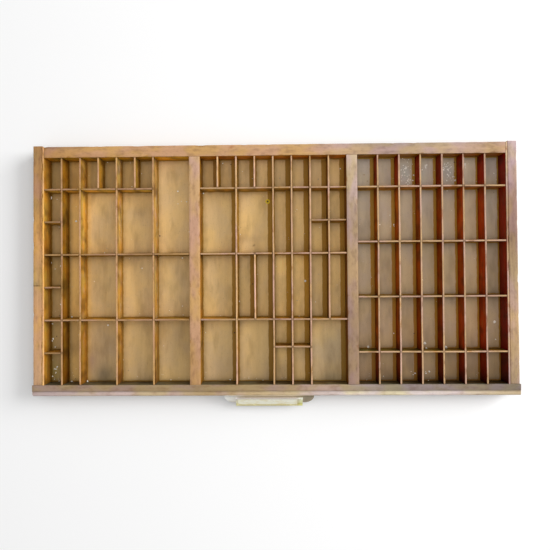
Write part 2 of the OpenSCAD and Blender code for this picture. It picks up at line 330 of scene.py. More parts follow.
def old_wood(name, crosswise, varnish, bare, rub, gloss=0.42, shine=0.09, ragged=1.0):
    """Wood with its grain along Y, or along X where it lies crosswise. varnish and bare are (light, dark)
    colours, rub is the height in mm where bare wood starts and where it is bare all over, and ragged is how
    uneven that line is."""
    paint, shader = new_paint(name)
    tree = paint.node_tree
    place = place_mm(tree)
    piece = attribute(tree, "piece")
    shifted = place.plus(joined(tree, piece * 5170.0, piece * 2930.0))
    if crosswise:
        x, y, z = shifted.parts()
        shifted = joined(tree, y, x, z)
    band, fibre, pores, blotch = figure_at(shifted)

    depth = band * 0.35 + fade(fibre, 0.3, 0.7) * 0.35 + fade(blotch, 0.35, 0.7, -0.12, 0.3)
    varnished = mixed(depth.held(), *varnish)
    tone = (piece * 37.7).sum("FRACT") * 0.3 + 0.85
    tones = joined(tree, tone, tone.sum("POWER", 1.25), tone.sum("POWER", 1.4), kind="Color")
    varnished = tinted(varnished, tones)
    # The stain tint is the varnish's tone, with painted shade in it towards the right bay.
    varnished = tinted(varnished, attribute(tree, "stain_and_shade", "Color"))
    amber = patches(shifted, (0.05, 0.03, 0.05), 2.0, 0.5, 0.38, 0.62)
    varnished = tinted(varnished, mixed(amber, OLIVE, AMBER))
    worn_thin = patches(shifted, (0.10, 0.05, 0.10), 3.0, 0.5, 0.50, 0.75)
    varnished = mixed(worn_thin * 0.3, varnished, tuple(0.75 * channel for channel in bare[1]))
    dark_runs = patches(shifted, (0.04, 0.045, 0.04), 1.0, 0.5, 0.42, 0.75)
    varnished = mixed(dark_runs * 0.6, varnished, DARK_VARNISH)

    pale = mixed(band * 0.2 + fibre * 0.45 + 0.12, *bare)
    rose = patches(shifted, (0.04, 0.02, 0.04), 2.0, 0.5, 0.38, 0.62)
    pale = tinted(pale, mixed(rose, STRAW, ROSE))
    grubby = patches(shifted, (0.16, 0.07, 0.16), 3.0, 0.5, 0.45, 0.75)
    pale = mixed(grubby * 0.4, pale, GRUBBY)

    height = place.parts()[2] + noise(place, 0.35, 3.0, 0.6) * (2 * ragged) - ragged
    rubbed = fade(height, *rub).sum("MAXIMUM", attribute(tree, "nick") * 0.8)
    colour = mixed(rubbed, varnished, pale)
    colour = mixed(pores * 0.35, colour, PORE)
    # Painted shade: the walls darken towards the floor over the last 16 mm.
    colour = mixed(fade(height, FLOOR_Z + 16.0, FLOOR_Z, 0.0, 0.2), colour, SHADE)
    colour = mixed(fade(height, FLOOR_Z + 4.0, FLOOR_Z) * 0.7, colour, DIRT)
    # The seam layer: dirt in the joints, and painted shade in the nooks beside them.
    colour = mixed(attribute(tree, "seam") * 0.75, colour, GRIME_AND_SHADE)
    colour = tinted(colour, attribute(tree, "mark", "Color"))
    roughness = rubbed * 0.25 + blotch * 0.2 + (gloss - 0.1)
    dress(shader, colour, roughness, fibre * 0.8 - pores, shine=shine)
    return paint


LONG_WALL = ((0.45, 0.23, 0.030), (0.25, 0.10, 0.010))
# Painted light: the walls of the cross strips, which face front and back, are a lighter copy of the long
# walls' varnish, in place of the light that falls on them.
CROSS_WALL_LIT = ((0.82, 0.48, 0.060), (0.48, 0.23, 0.020))
RAIL_WALL = ((0.52, 0.25, 0.020), (0.28, 0.10, 0.006))
FRONT_WALL = ((0.34, 0.21, 0.095), (0.19, 0.105, 0.045))
STRIP_TOP = ((0.76, 0.50, 0.30), (0.52, 0.31, 0.16))
CROSS_RAIL_TOP = ((0.64, 0.38, 0.17), (0.44, 0.24, 0.095))
LONG_RAIL_TOP = ((0.62, 0.39, 0.21), (0.45, 0.265, 0.13))
SIDE_TOP = ((0.60, 0.35, 0.135), (0.40, 0.21, 0.078))
LINING_TOP = ((0.62, 0.37, 0.14), (0.46, 0.25, 0.085))
FRONT_TOP = ((0.40, 0.29, 0.18), (0.27, 0.19, 0.115))
STRIP_RUB = (33.45, 34.1)
RAIL_RUB = (34.0, 34.9)
strip_y = old_wood("strip_wood_long", False, LONG_WALL, STRIP_TOP, STRIP_RUB, shine=0.04, ragged=0.35)
strip_x = old_wood("strip_wood_cross", True, CROSS_WALL_LIT, STRIP_TOP, STRIP_RUB, shine=0.04, ragged=0.35)
rail_x = old_wood("rail_wood_cross", True, RAIL_WALL, CROSS_RAIL_TOP, RAIL_RUB, ragged=0.5)
rail_y = old_wood("rail_wood_long", False, RAIL_WALL, LONG_RAIL_TOP, RAIL_RUB, ragged=0.5)
side_y = old_wood("side_wood", False, RAIL_WALL, SIDE_TOP, (32.9, 34.0))
lining_y = old_wood("lining_wood", False, LONG_WALL, LINING_TOP, RAIL_RUB, ragged=0.5)
front_x = old_wood("front_wood", True, FRONT_WALL, FRONT_TOP, (30.0, 32.0), gloss=0.5)
print("wood:", ", ".join(m.name for m in (strip_y, strip_x, rail_x, rail_y, side_y, lining_y, front_x)))

# %% [markdown]
# ## From a construction solid to a worn board
# A CAD solid has knife-sharp corners and flat faces that are too large to bend. Each wooden node is copied,
# its triangles are joined into whole faces, its long corners are eased with a small bevel, and it is cut
# into short stations along the grain, so that there are points to wear down. Bisecting by planes keeps
# every notch and hole.

# %% Helpers: clean copies of the boards
def open_copy(node):
    """A node's mesh with its loose triangles joined into flat faces."""
    form = bmesh.new()
    form.from_mesh(nodes[node].data)
    bmesh.ops.remove_doubles(form, verts=form.verts, dist=0.004 * MM)
    bmesh.ops.dissolve_limit(form, angle_limit=math.radians(1.0), verts=form.verts, edges=form.edges)
    return form


def ease(form, width, shortest, segments=2):
    """Bevels every convex corner line that is longer than shortest."""
    lines = [e for e in form.edges if len(e.link_faces) == 2 and e.is_convex
             and e.calc_face_angle() > math.radians(40) and e.calc_length() > shortest * MM]
    bmesh.ops.bevel(form, geom=lines, offset=width * MM, segments=segments, profile=0.5, affect="EDGES",
                    clamp_overlap=False)


def as_mesh(form, name):
    """Turns a bmesh form into a mesh."""
    mesh = bpy.data.meshes.new(name)
    form.to_mesh(mesh)
    form.free()
    return mesh


def smooth(mesh, degrees):
    """Shades a mesh smooth, but for the lines where its faces turn by more than some degrees."""
    mesh.shade_smooth()
    mesh.set_sharp_from_angle(angle=math.radians(degrees))


def cut(form, axis, places):
    """Cuts the form by planes across an axis at the places given in mm."""
    normal = Vector([float(i == axis) for i in range(3)])
    for place in places:
        bmesh.ops.bisect_plane(form, geom=form.verts[:] + form.edges[:] + form.faces[:], dist=0.01 * MM,
                               plane_co=normal * place * MM, plane_no=normal)


def stations(low, high, pitch):
    """Even places between two ends, leaving the ends out."""
    count = max(1, round((high - low) / pitch))
    return [low + (high - low) * i / count for i in range(1, count)]


def box_mm(node):
    """A node's lowest and highest corner in mm."""
    low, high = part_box(node)
    return np.array(low) / MM, np.array(high) / MM


print("board helpers ready")

# %% [markdown]
# ## Wearing the boards down
# Wear follows rules, so one Geometry Nodes tree ages every board. Thin strips have warped a little between
# their joints, flat faces ripple by a tenth of a millimetre, and the eased corners carry nicks. Points only
# move inwards or sideways, so a board never grows past its solid. The tree stores how deep each nick is,
# and the material shows bare wood there.

# %% Geometry Nodes: worn board
def new_tree(name, **inputs):
    """A tree from geometry to geometry, and its inputs as signals. inputs names the kind of the others."""
    tree = bpy.data.node_groups.new(name, "GeometryNodeTree")
    for input_name, kind in {"Geometry": "Geometry", **inputs}.items():
        tree.interface.new_socket(input_name, in_out="INPUT", socket_type="NodeSocket" + kind)
    tree.interface.new_socket("Geometry", in_out="OUTPUT", socket_type="NodeSocketGeometry")
    start = add(tree, "NodeGroupInput")
    return tree, [Signal(start, i) for i in range(len(inputs) + 1)]


def end_tree(tree, geometry, finish):
    """Makes the geometry real, gives it its material and hands it on."""
    real = add(tree, "GeometryNodeRealizeInstances", {0: Signal(geometry)})
    dressed = add(tree, "GeometryNodeSetMaterial", {"Geometry": Signal(real), "Material": finish})
    add(tree, "NodeGroupOutput", {0: Signal(dressed)})
    return tree


def carried(tree, name, kind="FLOAT"):
    """What the points of the geometry carry under a name."""
    return Signal(add(tree, "GeometryNodeInputNamedAttribute", {"Name": name}, data_type=kind))


def make_wear_tree():
    """Warps a board, ripples its faces and nicks its corners."""
    tree, (board, warp, ripple, nick, seed, wood) = new_tree(
        "worn_board", Warp="Float", Ripple="Float", Nick="Float", Seed="Float", Wood="Material")
    outwards = Signal(add(tree, "GeometryNodeInputNormal"))
    own = Signal(add(tree, "GeometryNodeInputPosition")).plus(joined(tree, z=seed))
    bend = noise(own, 9.0, 1.0, output="Color").sum("SUBTRACT", (0.5, 0.5, 0.5), kind="VectorMath")
    dips = noise(own, 55.0)
    bites = fade(noise(own, 60.0), 0.56, 0.70) * carried(tree, "corner")
    sink = dips * ripple + bites * nick
    offset = bend.times((1.0, 1.0, 0.0)).scaled(warp).plus(outwards.scaled(sink * -1.0))
    moved = add(tree, "GeometryNodeSetPosition", {"Geometry": board, "Offset": offset})
    values = {"Geometry": Signal(moved), "Name": "nick", "Value": bites}
    return end_tree(tree, add(tree, "GeometryNodeStoreNamedAttribute", values, data_type="FLOAT"), wood)


def run_tree(tree, mesh, values):
    """Runs a tree once over a mesh and returns what it makes as a plain mesh."""
    carrier = placed("carrier", mesh)
    modifier = carrier.modifiers.new("tree", "NODES")
    modifier.node_group = tree
    for item in tree.interface.items_tree:
        if item.in_out == "INPUT" and item.name in values:
            modifier[item.identifier] = values[item.name]
    graph = bpy.context.evaluated_depsgraph_get()
    made = bpy.data.meshes.new_from_object(carrier.evaluated_get(graph), preserve_all_data_layers=True,
                                           depsgraph=graph)
    bpy.data.objects.remove(carrier)
    bpy.data.meshes.remove(mesh)
    return made


wear_tree = make_wear_tree()
print(f"wear tree: {len(wear_tree.nodes)} nodes")

# %% [markdown]
# ## Attributes that the wood reads
# The points of each board carry six: piece, a number of the board's own that moves it in the figure of the
# wood; corner, 1 along its eased corners, where nicks may come; nick, how deep they are; seam, the dark
# joints where strips meet, with painted shade in the nooks beside them; stain, the tint of the varnish,
# with painted shade in it; and mark, which is multiplied over everything at the end, worn tops as well,
# for age, painted light and painted shade that belong to one place. In the right bay the varnish is tinted
# from amber to red, partly its own tone and partly painted shade on the walls that face away from the light.

# %% Helpers: attributes and finished boards
SEED = 1907
SEEDS = 40
draw = random.Random(SEED)


def set_floats(mesh, name, values):
    """Stores one number for each point."""
    mesh.attributes.new(name, "FLOAT", "POINT").data.foreach_set("value", np.asarray(values, np.float32))


def set_colours(mesh, name, values):
    """Stores one colour for each point, with alpha 1."""
    rgba = np.ones((len(values), 4), np.float32)
    rgba[:, :3] = values
    mesh.attributes.new(name, "FLOAT_COLOR", "POINT").data.foreach_set("color", rgba.ravel())


def points_of(mesh):
    """The mesh's points in mm, one row each."""
    flat = np.zeros(len(mesh.vertices) * 3, np.float32)
    mesh.vertices.foreach_get("co", flat)
    return flat.reshape(-1, 3).astype(float) / MM


def soft_marks(points, marks):
    """Colours for a list of soft marks: x, y, reach in x, reach in y, and the three parts of the colour."""
    colours = np.ones((len(points), 3))
    for x, y, reach_x, reach_y, *colour in marks:
        far = ((points[:, 0] - x) / reach_x) ** 2 + ((points[:, 1] - y) / reach_y) ** 2
        amount = np.exp(-far)[:, None]
        colours *= 1 - amount + amount * np.array(colour)
    return colours


def along(points, axis, stops):
    """Colours that fade from stop to stop along an axis. Each stop is its place in mm and its colour."""
    places, *channels = np.array(stops).T
    return np.stack([np.interp(points[:, axis], places, channel) for channel in channels], 1)


print("attribute helpers ready")

# %% [markdown]
# ## One worn board
# Every board goes the same way: copy the solid, ease its corners, cut it into stations, give its points
# their attributes and run the wear tree. The seams are drawn around the places of the joints, with a dark
# line of dirt in the joint and a painted shade in the nook beside it. The varnish of the right bay is tinted
# from amber to red, partly its own tone and partly painted shade.

# %% Helper: one worn board
SHORTEST_EASED = 4.0
SEAM_EDGE = 0.7
# Painted shade: the walls darken in the nook beside each joint, below NOOK_TOP_Z, fading over NOOK_REACH mm.
NOOK_DEPTH = 0.6
NOOK_REACH = 5.0
NOOK_TOP_Z = 33
# Painted shade: towards the right bay the varnish is tinted a deep red, partly its own tone and partly
# painted shade for the walls that face left, away from the softboxes. The walls that face right take the
# browner copy below as their lit side.
RED_TONE_AND_SHADE = [(-140, 1.05, 1.02, 0.9), (0, 1.12, 1.0, 0.6), (100, 1.08, 0.9, 0.3), (170, 1.1, 0.65, 0.03),
            (400, 1.0, 0.20, 0.0)]
LIT_SIDE_TONE = [(-140, 1.05, 1.02, 0.9), (0, 1.1, 1.0, 0.65), (100, 1.0, 0.9, 0.5), (170, 0.85, 0.65, 0.35),
              (400, 0.66, 0.40, 0.15)]
NO_RED = [(-400, 1.0, 1.0, 1.0), (400, 0.8, 0.85, 0.9)]
RED_CROSS = [(-140, 1.0, 1.0, 1.0), (100, 0.9, 0.75, 0.5), (400, 0.72, 0.38, 0.1)]


def put_in_tray(mesh, name, node, body="tray"):
    """Makes a piece of a mesh, in the place of a CAD node."""
    piece = placed(name, mesh)
    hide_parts(node)
    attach(piece, body)
    return piece


def is_corner(face):
    """True for the narrow slanted faces that a bevel leaves."""
    return sorted(abs(c) for c in face.normal)[1] > 0.2


def board(node, slot, wood, axis, pitch, eased, cuts=(), extra=(), warp=0.0, ripple=0.12, nick=0.5, seams=(),
          marks=(), marked=None, red=RED_TONE_AND_SHADE):
    """A worn board in place of a CAD node. cuts are (axis, places) pairs beside the stations along it, seams
    are (place, half the width, strength), and marks are soft marks of colour, mostly stains, with a painted
    shadow on the left side rail. marked gives the points their age, with painted light on the back rail and a
    painted shadow on the front rail, and red is the tint of the varnish, with painted shade in it, as stops
    across the tray or worked out from the points."""
    low, high = box_mm(node)
    form = open_copy(node)
    ease(form, eased, SHORTEST_EASED)
    for cut_axis, places in cuts:
        cut(form, cut_axis, places)
    cut(form, axis, sorted(stations(low[axis], high[axis], pitch) + list(extra)))
    form.verts.index_update()
    corner = np.array([float(any(is_corner(f) for f in v.link_faces)) for v in form.verts])
    mesh = as_mesh(form, node)
    points = points_of(mesh)
    set_floats(mesh, "corner", corner)
    set_floats(mesh, "piece", np.full(len(points), draw.random()))
    dark = np.zeros(len(points))
    for place, half, strength in seams:
        off = np.abs(points[:, axis] - place)
        line = np.clip((half + SEAM_EDGE - off) / SEAM_EDGE, 0, 1) * strength
        # The nook is painted shade beside the joint; the line in the joint itself is dirt.
        nook = NOOK_DEPTH * np.exp(-np.maximum(off - half, 0) / NOOK_REACH) * (points[:, 2] < NOOK_TOP_Z)
        dark = np.maximum.reduce([dark, line, nook])
    set_floats(mesh, "seam", dark)
    set_colours(mesh, "stain_and_shade", red(points) if callable(red) else along(points, 0, red))
    set_colours(mesh, "mark", soft_marks(points, marks) * (marked(points) if marked else 1.0))
    values = {"Warp": warp * MM, "Ripple": ripple * MM, "Nick": nick * MM, "Seed": draw.random() * SEEDS}
    worn = run_tree(wear_tree, mesh, {**values, "Wood": wood})
    worn.name = node
    smooth(worn, 24)
    return put_in_tray(worn, "worn_" + node, node)


print("board helper ready")

# %% [markdown]
# ## The strips
# 35 strips in all run front to back or across. Where two cross, each has a notch to half its height, so the
# long ones show on top and the cross ones pass below. The joints have filled with dirt, which the seam
# attribute shows, with painted shade in the nooks beside them. The sides that face right, towards the
# softboxes, are tinted browner as their lit side, the others a deeper red, partly their varnish and partly
# painted shade, and the front ends of the right bay's strips are almost black.

# %% Find the strips and their joints
strip_names = [n for n in sorted(nodes) if "strip" in n and "lining" not in n or "stub" in n]
long_names = [n for n in strip_names if "long_strip" in n or "short_strip" in n]
cross_names = [n for n in strip_names if n not in long_names]
strip_boxes = {n: box_mm(n) for n in strip_names}
STRIP_TOP_FROM_Z = 33.2
TOUCH_MM = 0.3


def crossings(name, axis):
    """Where the strips of the other direction cross or meet this one, along its axis."""
    low, high = strip_boxes[name]
    places = []
    for other in cross_names if name in long_names else long_names:
        other_low, other_high = strip_boxes[other]
        if (other_low[:2] <= high[:2] + TOUCH_MM).all() and (other_high[:2] >= low[:2] - TOUCH_MM).all():
            places.append((other_low[axis] + other_high[axis]) / 2)
    return places


print(f"strips: {len(long_names)} run front to back and {len(cross_names)} across")

# %% The age of the strips
TOP_TONES = {"left": (0.83, 0.78, 0.65), "middle": (0.93, 0.93, 0.97), "right": (0.79, 0.82, 0.88)}
CROSS_DIM = {"left": 0.76, "middle": 0.80, "right": 0.95}


def top_tone(name):
    """How light the worn top of a strip is: cross strips are worn less, and the stubs least."""
    bay = name.split("_")[0]
    share = draw.uniform(0.9, 1.12)
    if name in cross_names:
        share *= CROSS_DIM[bay] * (0.82 if "stub" in name else 1.0)
    elif "short" in name:
        share *= 1.12
    return np.array(TOP_TONES[bay]) * share


WALL_TONES = {"left_long_strip_1": (0.74, 0.70, 0.52), "left_long_strip_2": (1.6, 1.8, 2.6),
              "left_long_strip_4": (1.4, 1.6, 3.0), "left_long_strip_6": (1.15, 1.35, 2.8)}
USUAL_WALL = {"right_long": (1.12, 1.1, 0.6), "middle_long": (0.7, 0.7, 0.65),
              "middle_short": (0.7, 0.7, 0.65)}
LEFT_ENDS = [(-195, 0.62, 0.5, 0.35), (-115, 0.75, 0.68, 0.5), (-92, 0.95, 0.93, 0.85),
             (20, 1.0, 1.0, 0.95), (60, 1.08, 1.12, 1.15)]
DARK_ENDS = [(-196, 0.06, 0.03, 0.03), (-182, 0.28, 0.07, 0.05), (-165, 0.52, 0.18, 0.15),
             (-120, 0.85, 0.55, 0.4), (-40, 0.92, 0.8, 0.6), (140, 1.1, 0.9, 0.6), (150, 0.85, 0.3, 0.2),
             (195, 0.75, 0.25, 0.15)]
CROSS_ENDS = [(-140, 0.45, 0.75, 0.8), (30, 0.6, 0.85, 0.8), (140, 1.0, 1.0, 1.0)]


def strip_age(name):
    """The age of a strip's points: a tone for its worn top, and walls that are dusty or dark by place."""
    tone = top_tone(name)
    usual = USUAL_WALL.get(name.split("_strip")[0], (1.0, 1.0, 1.0))
    wall = np.array(WALL_TONES.get(name, usual)) * draw.uniform(0.92, 1.08)
    ends = LEFT_ENDS
    if name.startswith("right"):
        ends = CROSS_ENDS if name in cross_names else DARK_ENDS
    edge = (0.66, 0.66, 0.6) if name.startswith("left") else (1.0, 1.0, 1.0)
    heights = [(10, 1.1, 1.1, 1.1), (23, 1.05, 1.05, 1.05), (32.6, *edge)]

    def age(points):
        walls = wall * along(points, 1, ends) * along(points, 2, heights)
        return np.where(points[:, 2:] > STRIP_TOP_FROM_Z, tone, walls)
    return age


def strip_red(name):
    """The varnish's tint on a long strip: browner on its lit right side, and a deeper red, partly painted
    shade, on its left.
    """
    middle = (strip_boxes[name][0][0] + strip_boxes[name][1][0]) / 2

    def tint(points):
        return np.where(points[:, :1] > middle, along(points, 0, LIT_SIDE_TONE), along(points, 0, RED_TONE_AND_SHADE))
    return tint


print("tones for", ", ".join(TOP_TONES))

# %% Make the strips
JOINT_HALF = 1.6
STRIP_CUTS_Z = [7.6, 10.0, 16.0, 23.0, 29.0, 32.6]
STRIP_PITCH = 7.0


def strip(name):
    """One worn strip, cut close together at its joints and ends."""
    axis = 1 if name in long_names else 0
    low, high = strip_boxes[name][0][axis], strip_boxes[name][1][axis]
    joints = [p for p in crossings(name, axis) if low + 3 < p < high - 3]
    close = [p + off for p in joints for off in (-2.5, -1.8, 1.8, 2.5)]
    close += [low + 0.8, low + 1.6, high - 1.6, high - 0.8]
    seams = [(p, JOINT_HALF, draw.uniform(0.25, 1.0)) for p in joints]
    seams += [(low, 0.5, 0.7), (high, 0.5, 0.7)]
    steps = [p for p in stations(low, high, STRIP_PITCH) if all(abs(p - q) > 1.2 for q in close)]
    board(name, "strip_wood", strip_y if axis else strip_x, axis, high - low, 0.42, cuts=[(2, STRIP_CUTS_Z)],
          extra=steps + close, warp=1.1, ripple=0.10, nick=0.55, seams=seams,
          red=strip_red(name) if axis else RED_CROSS, marked=strip_age(name))


for name in strip_names:
    strip(name)
print(f"strips made: {len(strip_names)}")

# %% [markdown]
# ## Rails, linings and posts
# The frame is heavier and flatter than the strips. Each board is cut finely enough along its length for the
# wear, and once or twice across its top, so that marks can fade over its width. Tops and walls have aged
# apart: the tops are rubbed, and the walls have kept their varnish. The wall of the back rail that closes
# the boxes is painted brightest, as painted light from the front.

# %% Linings and posts
HEIGHTS = [8.0, 14.0, 24.0, 31.5]
LEFT_LINING_AGE = [(-190, 1.5, 1.55, 1.7), (-90, 1.55, 1.55, 1.6), (0, 1.55, 1.5, 1.35),
                   (70, 1.6, 1.5, 1.1), (130, 1.4, 1.4, 1.5), (210, 1.15, 1.1, 1.15)]
RIGHT_LINING_AGE = [(-190, 0.75, 0.9, 1.9), (-90, 1.0, 1.15, 2.1), (0, 0.95, 1.1, 2.1),
                    (60, 0.65, 0.75, 1.2), (110, 0.7, 0.8, 1.3), (160, 0.95, 1.2, 2.4),
                    (210, 1.05, 1.35, 2.7)]
LEFT_LINING_WALL = [(-190, 1.1, 1.1, 1.1), (210, 1.2, 1.2, 1.2)]
RIGHT_LINING_WALL = [(-196, 0.05, 0.01, 0.01), (-178, 0.35, 0.05, 0.04), (-140, 0.6, 0.15, 0.1),
                     (60, 0.9, 0.6, 0.4), (140, 1.2, 0.7, 0.4), (150, 0.95, 0.3, 0.2),
                     (210, 0.9, 0.3, 0.2)]


def top_and_walls(top, walls, from_z=33.0):
    """Marks of a board that runs front to back, with one row of stops for its top and one for its walls."""
    return lambda points: np.where(points[:, 2:] > from_z, along(points, 1, top), along(points, 1, walls))


for node, age, wall in (("left_lining_strip", LEFT_LINING_AGE, LEFT_LINING_WALL),
                        ("right_lining_strip", RIGHT_LINING_AGE, RIGHT_LINING_WALL)):
    board(node, "lining_wood", lining_y, 1, 6.0, 0.4, cuts=[(2, HEIGHTS)], ripple=0.15, nick=0.6,
          marked=top_and_walls(age, wall))

POST_WALL = [(0, 0.6, 0.57, 0.5)]
LEFT_POST_AGE = [(-190, 0.85, 0.8, 0.75), (-60, 1.0, 0.97, 0.85), (60, 1.0, 0.97, 1.0),
                 (190, 1.0, 1.05, 1.2)]
RIGHT_POST_AGE = [(-190, 0.6, 0.65, 0.85), (-110, 0.58, 0.63, 0.85), (0, 0.8, 0.87, 1.05),
                  (90, 0.72, 0.84, 1.15), (140, 0.9, 1.1, 1.5), (190, 1.0, 1.25, 1.75)]
for node, age in (("left_post", LEFT_POST_AGE), ("right_post", RIGHT_POST_AGE)):
    low, high = box_mm(node)
    board(node, "rail_wood", rail_y, 1, 6.0, 0.6, cuts=[(2, HEIGHTS), (0, stations(low[0], high[0], 5.0))],
          nick=0.7, marked=top_and_walls(age, POST_WALL))

print("made: 2 linings, 2 posts")

# %% Back rail and side rails
BACK_RAIL_AGE = [(-390, 0.85, 0.8, 0.85), (-300, 1.0, 1.0, 1.0), (60, 1.0, 1.05, 1.2),
                 (110, 0.95, 1.1, 1.7), (200, 0.75, 0.92, 1.5), (300, 0.9, 1.1, 1.75),
                 (390, 0.85, 0.95, 1.3)]
# Painted light: the wall of the back rail that faces the boxes is brightened, up to 2.6 times, in place of
# light from the front.
BACK_WALL_PAINTED_LIGHT = [(-390, 1.75, 2.1, 1.1), (-215, 1.75, 2.0, 0.7), (-200, 2.4, 2.6, 1.0),
                 (-145, 2.4, 2.6, 1.0), (-120, 2.0, 1.6, 0.5), (120, 2.0, 1.7, 0.5), (150, 1.45, 2.0, 1.0),
                 (390, 1.35, 1.7, 0.9)]
INNER_WALL_MM = 0.8
INNER_TOP_Z = 33.5
BACK_INNER_Y = box_mm("back_rail")[0][1] + INNER_WALL_MM


def back_rail_age_and_light(points):
    """Beside its worn top, the wall of the back rail that closes the boxes is painted bright, as painted
    light.
    """
    inner = (points[:, 1:2] < BACK_INNER_Y) & (points[:, 2:] < INNER_TOP_Z)
    return np.where(inner, along(points, 0, BACK_WALL_PAINTED_LIGHT), along(points, 0, BACK_RAIL_AGE))


BACK_CUTS_Y = [198.0, 204.0, 209.0]
BACK_MARKS = [(-380, 212, 60, 4, 0.75, 0.8, 1.0), (200, 212, 160, 4, 0.85, 0.95, 1.1),
              (-71, 209, 3, 2.5, 0.7, 0.5, 0.4), (-33, 200, 2.5, 2.5, 0.6, 0.5, 0.4)]
board("back_rail", "rail_wood", rail_x, 0, 7.0, 0.7, cuts=[(2, HEIGHTS), (1, BACK_CUTS_Y)], nick=0.8,
      red=RED_CROSS, marked=back_rail_age_and_light, marks=BACK_MARKS)

LEFT_SIDE_AGE = [(-190, 1.0, 1.1, 1.3), (-80, 1.2, 1.2, 1.3), (-10, 1.0, 1.1, 1.1), (50, 1.25, 1.2, 1.05),
                 (120, 0.92, 0.92, 1.05), (215, 0.75, 0.72, 0.9)]
RIGHT_SIDE_AGE = [(-190, 0.75, 0.95, 1.6), (-90, 0.95, 1.12, 1.75), (-10, 0.75, 0.95, 1.6),
                  (60, 0.58, 0.66, 1.15), (110, 0.66, 0.74, 1.35), (160, 0.82, 1.0, 2.2),
                  (215, 1.0, 1.35, 3.0)]
# The long thin dark mark at x -397.5 is a painted shadow in the groove beside the left lining.
SIDE_MARKS = [(-404, -24.5, 8, 1.1, 0.35, 0.33, 0.3), (-406, -21, 9, 4, 0.85, 0.95, 0.9),
              (-406, 199, 6, 9, 0.85, 0.95, 0.95), (-407, 113, 5, 10, 0.85, 0.92, 0.9),
              (-397.5, 110, 1.5, 90, 0.6, 0.5, 0.5), (392, -90, 3, 3, 0.35, 0.28, 0.25),
              (388, 190, 7, 16, 1.1, 1.12, 1.15), (404, 40, 4, 60, 0.92, 0.9, 0.9)]
SIDE_TOP_FROM_Z = 32.0
UNMARKED = [(0, 1.0, 1.0, 1.0)]
for node, age in (("left_side_rail", LEFT_SIDE_AGE), ("right_side_rail", RIGHT_SIDE_AGE)):
    low, high = box_mm(node)
    board(node, "side_wood", side_y, 1, 6.0, 0.8, cuts=[(2, HEIGHTS), (0, stations(low[0], high[0], 3.0))],
          extra=[-26.5, -25.5, -24.6, -23.7, -22.7], nick=0.9, marks=SIDE_MARKS, red=NO_RED,
          marked=top_and_walls(age, UNMARKED, SIDE_TOP_FROM_Z))

print("made: back rail, 2 side rails")

# %% [markdown]
# ## The front rail
# Hands hold the tray by its front rail. Its flat band is grey with handling, and in front of a step the
# nose is worn to pale wood. The step's foot is painted dark as the shadow of the step.

# %% Front rail
NOSE_BACK_Y = -204.0
BAND_AGE = [(-410, 0.95, 0.95, 1.0), (-60, 1.0, 1.0, 0.95), (20, 1.05, 1.05, 1.1), (90, 1.25, 1.28, 1.35),
            (150, 0.97, 1.1, 1.35), (210, 0.78, 0.9, 1.15), (330, 0.72, 0.8, 1.0), (410, 0.6, 0.68, 0.9)]
NOSE_AGE = [(-410, 1.25, 1.4, 1.8), (-250, 1.5, 1.65, 2.0), (-110, 1.2, 1.2, 1.2), (0, 1.45, 1.55, 1.7),
            (130, 1.8, 2.2, 2.8), (250, 1.85, 2.3, 3.0), (340, 1.6, 1.85, 2.3), (410, 1.3, 1.4, 1.7)]
FRONT_INNER_Y = box_mm("front_rail")[1][1] - INNER_WALL_MM
GREY_WALL = np.array((0.62, 0.85, 0.9))
NOSE_TONE = 1.1
FRONT_CUTS_Y = [-208.0, -204.7, -201.0, -197.0]


def front_rail_wear_and_shadow(points):
    """The flat band is grey with handling, and the nose in front of the step is worn pale, with a painted
    step shadow.
    """
    nose = (points[:, 1] < NOSE_BACK_Y + 0.2) & (points[:, 2] < RAIL_TOP_Z - 0.6) & (points[:, 2] > 24)
    # Painted shadow: a dark line on the nose at the foot of the step.
    step = 1 - 0.6 * np.exp(-((points[:, 1:2] - NOSE_BACK_Y) / 0.7) ** 2)
    inner = (points[:, 1:2] > FRONT_INNER_Y) & (points[:, 2:] < INNER_TOP_Z)
    flat = along(points, 0, BAND_AGE) * np.where(inner, GREY_WALL, 1.0)
    return np.where(nose[:, None], along(points, 0, NOSE_AGE) * NOSE_TONE * step, flat)


board("front_rail", "front_wood", front_x, 0, 6.0, 0.6, cuts=[(2, HEIGHTS + [28.0]), (1, FRONT_CUTS_Y)],
      nick=0.8, red=RED_CROSS, marked=front_rail_wear_and_shadow)
print("made: front rail")

# %% [markdown]
# ## The bottom panels
# Thin boards close the tray from below. Their tops are what one sees in every compartment, so they get a
# fine grid of points. Each point knows its box, since boxes were used unevenly, and how far the nearest
# wall stands: dust and painted shade darken the floor towards the walls, drift, and dirt and painted shade
# draw a line at their feet, wall. The knot is painted by the material.

# %% Distances to the walls
WALL_REACH = 3.0
wall_names = strip_names + ["left_post", "right_post", "back_rail", "front_rail", "left_lining_strip",
                            "right_lining_strip"]
wall_boxes = np.array([[*box_mm(n)[0][:2], *box_mm(n)[1][:2]] for n in wall_names])


def wall_distances(points):
    """How far each point lies from the walls on its left, right, front and back, in mm, one column each."""
    found = np.full((len(points), 4), 1e3)
    for left, front, right, back in wall_boxes:
        level = (points[:, 1] > front - TOUCH_MM) & (points[:, 1] < back + TOUCH_MM)
        upright = (points[:, 0] > left - TOUCH_MM) & (points[:, 0] < right + TOUCH_MM)
        for column, beside, off in ((0, level, points[:, 0] - right), (1, level, left - points[:, 0]),
                                    (2, upright, points[:, 1] - back), (3, upright, front - points[:, 1])):
            here = beside & (off > -WALL_REACH)
            found[here, column] = np.minimum(found[here, column], np.maximum(off[here], 0.0))
    return found


def box_of(points, found):
    """A number from 0 to 1 for the box that each point lies in, found from the corner of that box."""
    corner = np.round(points[:, 0] - found[:, 0]) * 7.31 + np.round(points[:, 1] + found[:, 3]) * 3.97
    return np.modf(np.abs(np.sin(corner)) * 431.7)[0]


print(f"walls around the boxes: {len(wall_boxes)}")

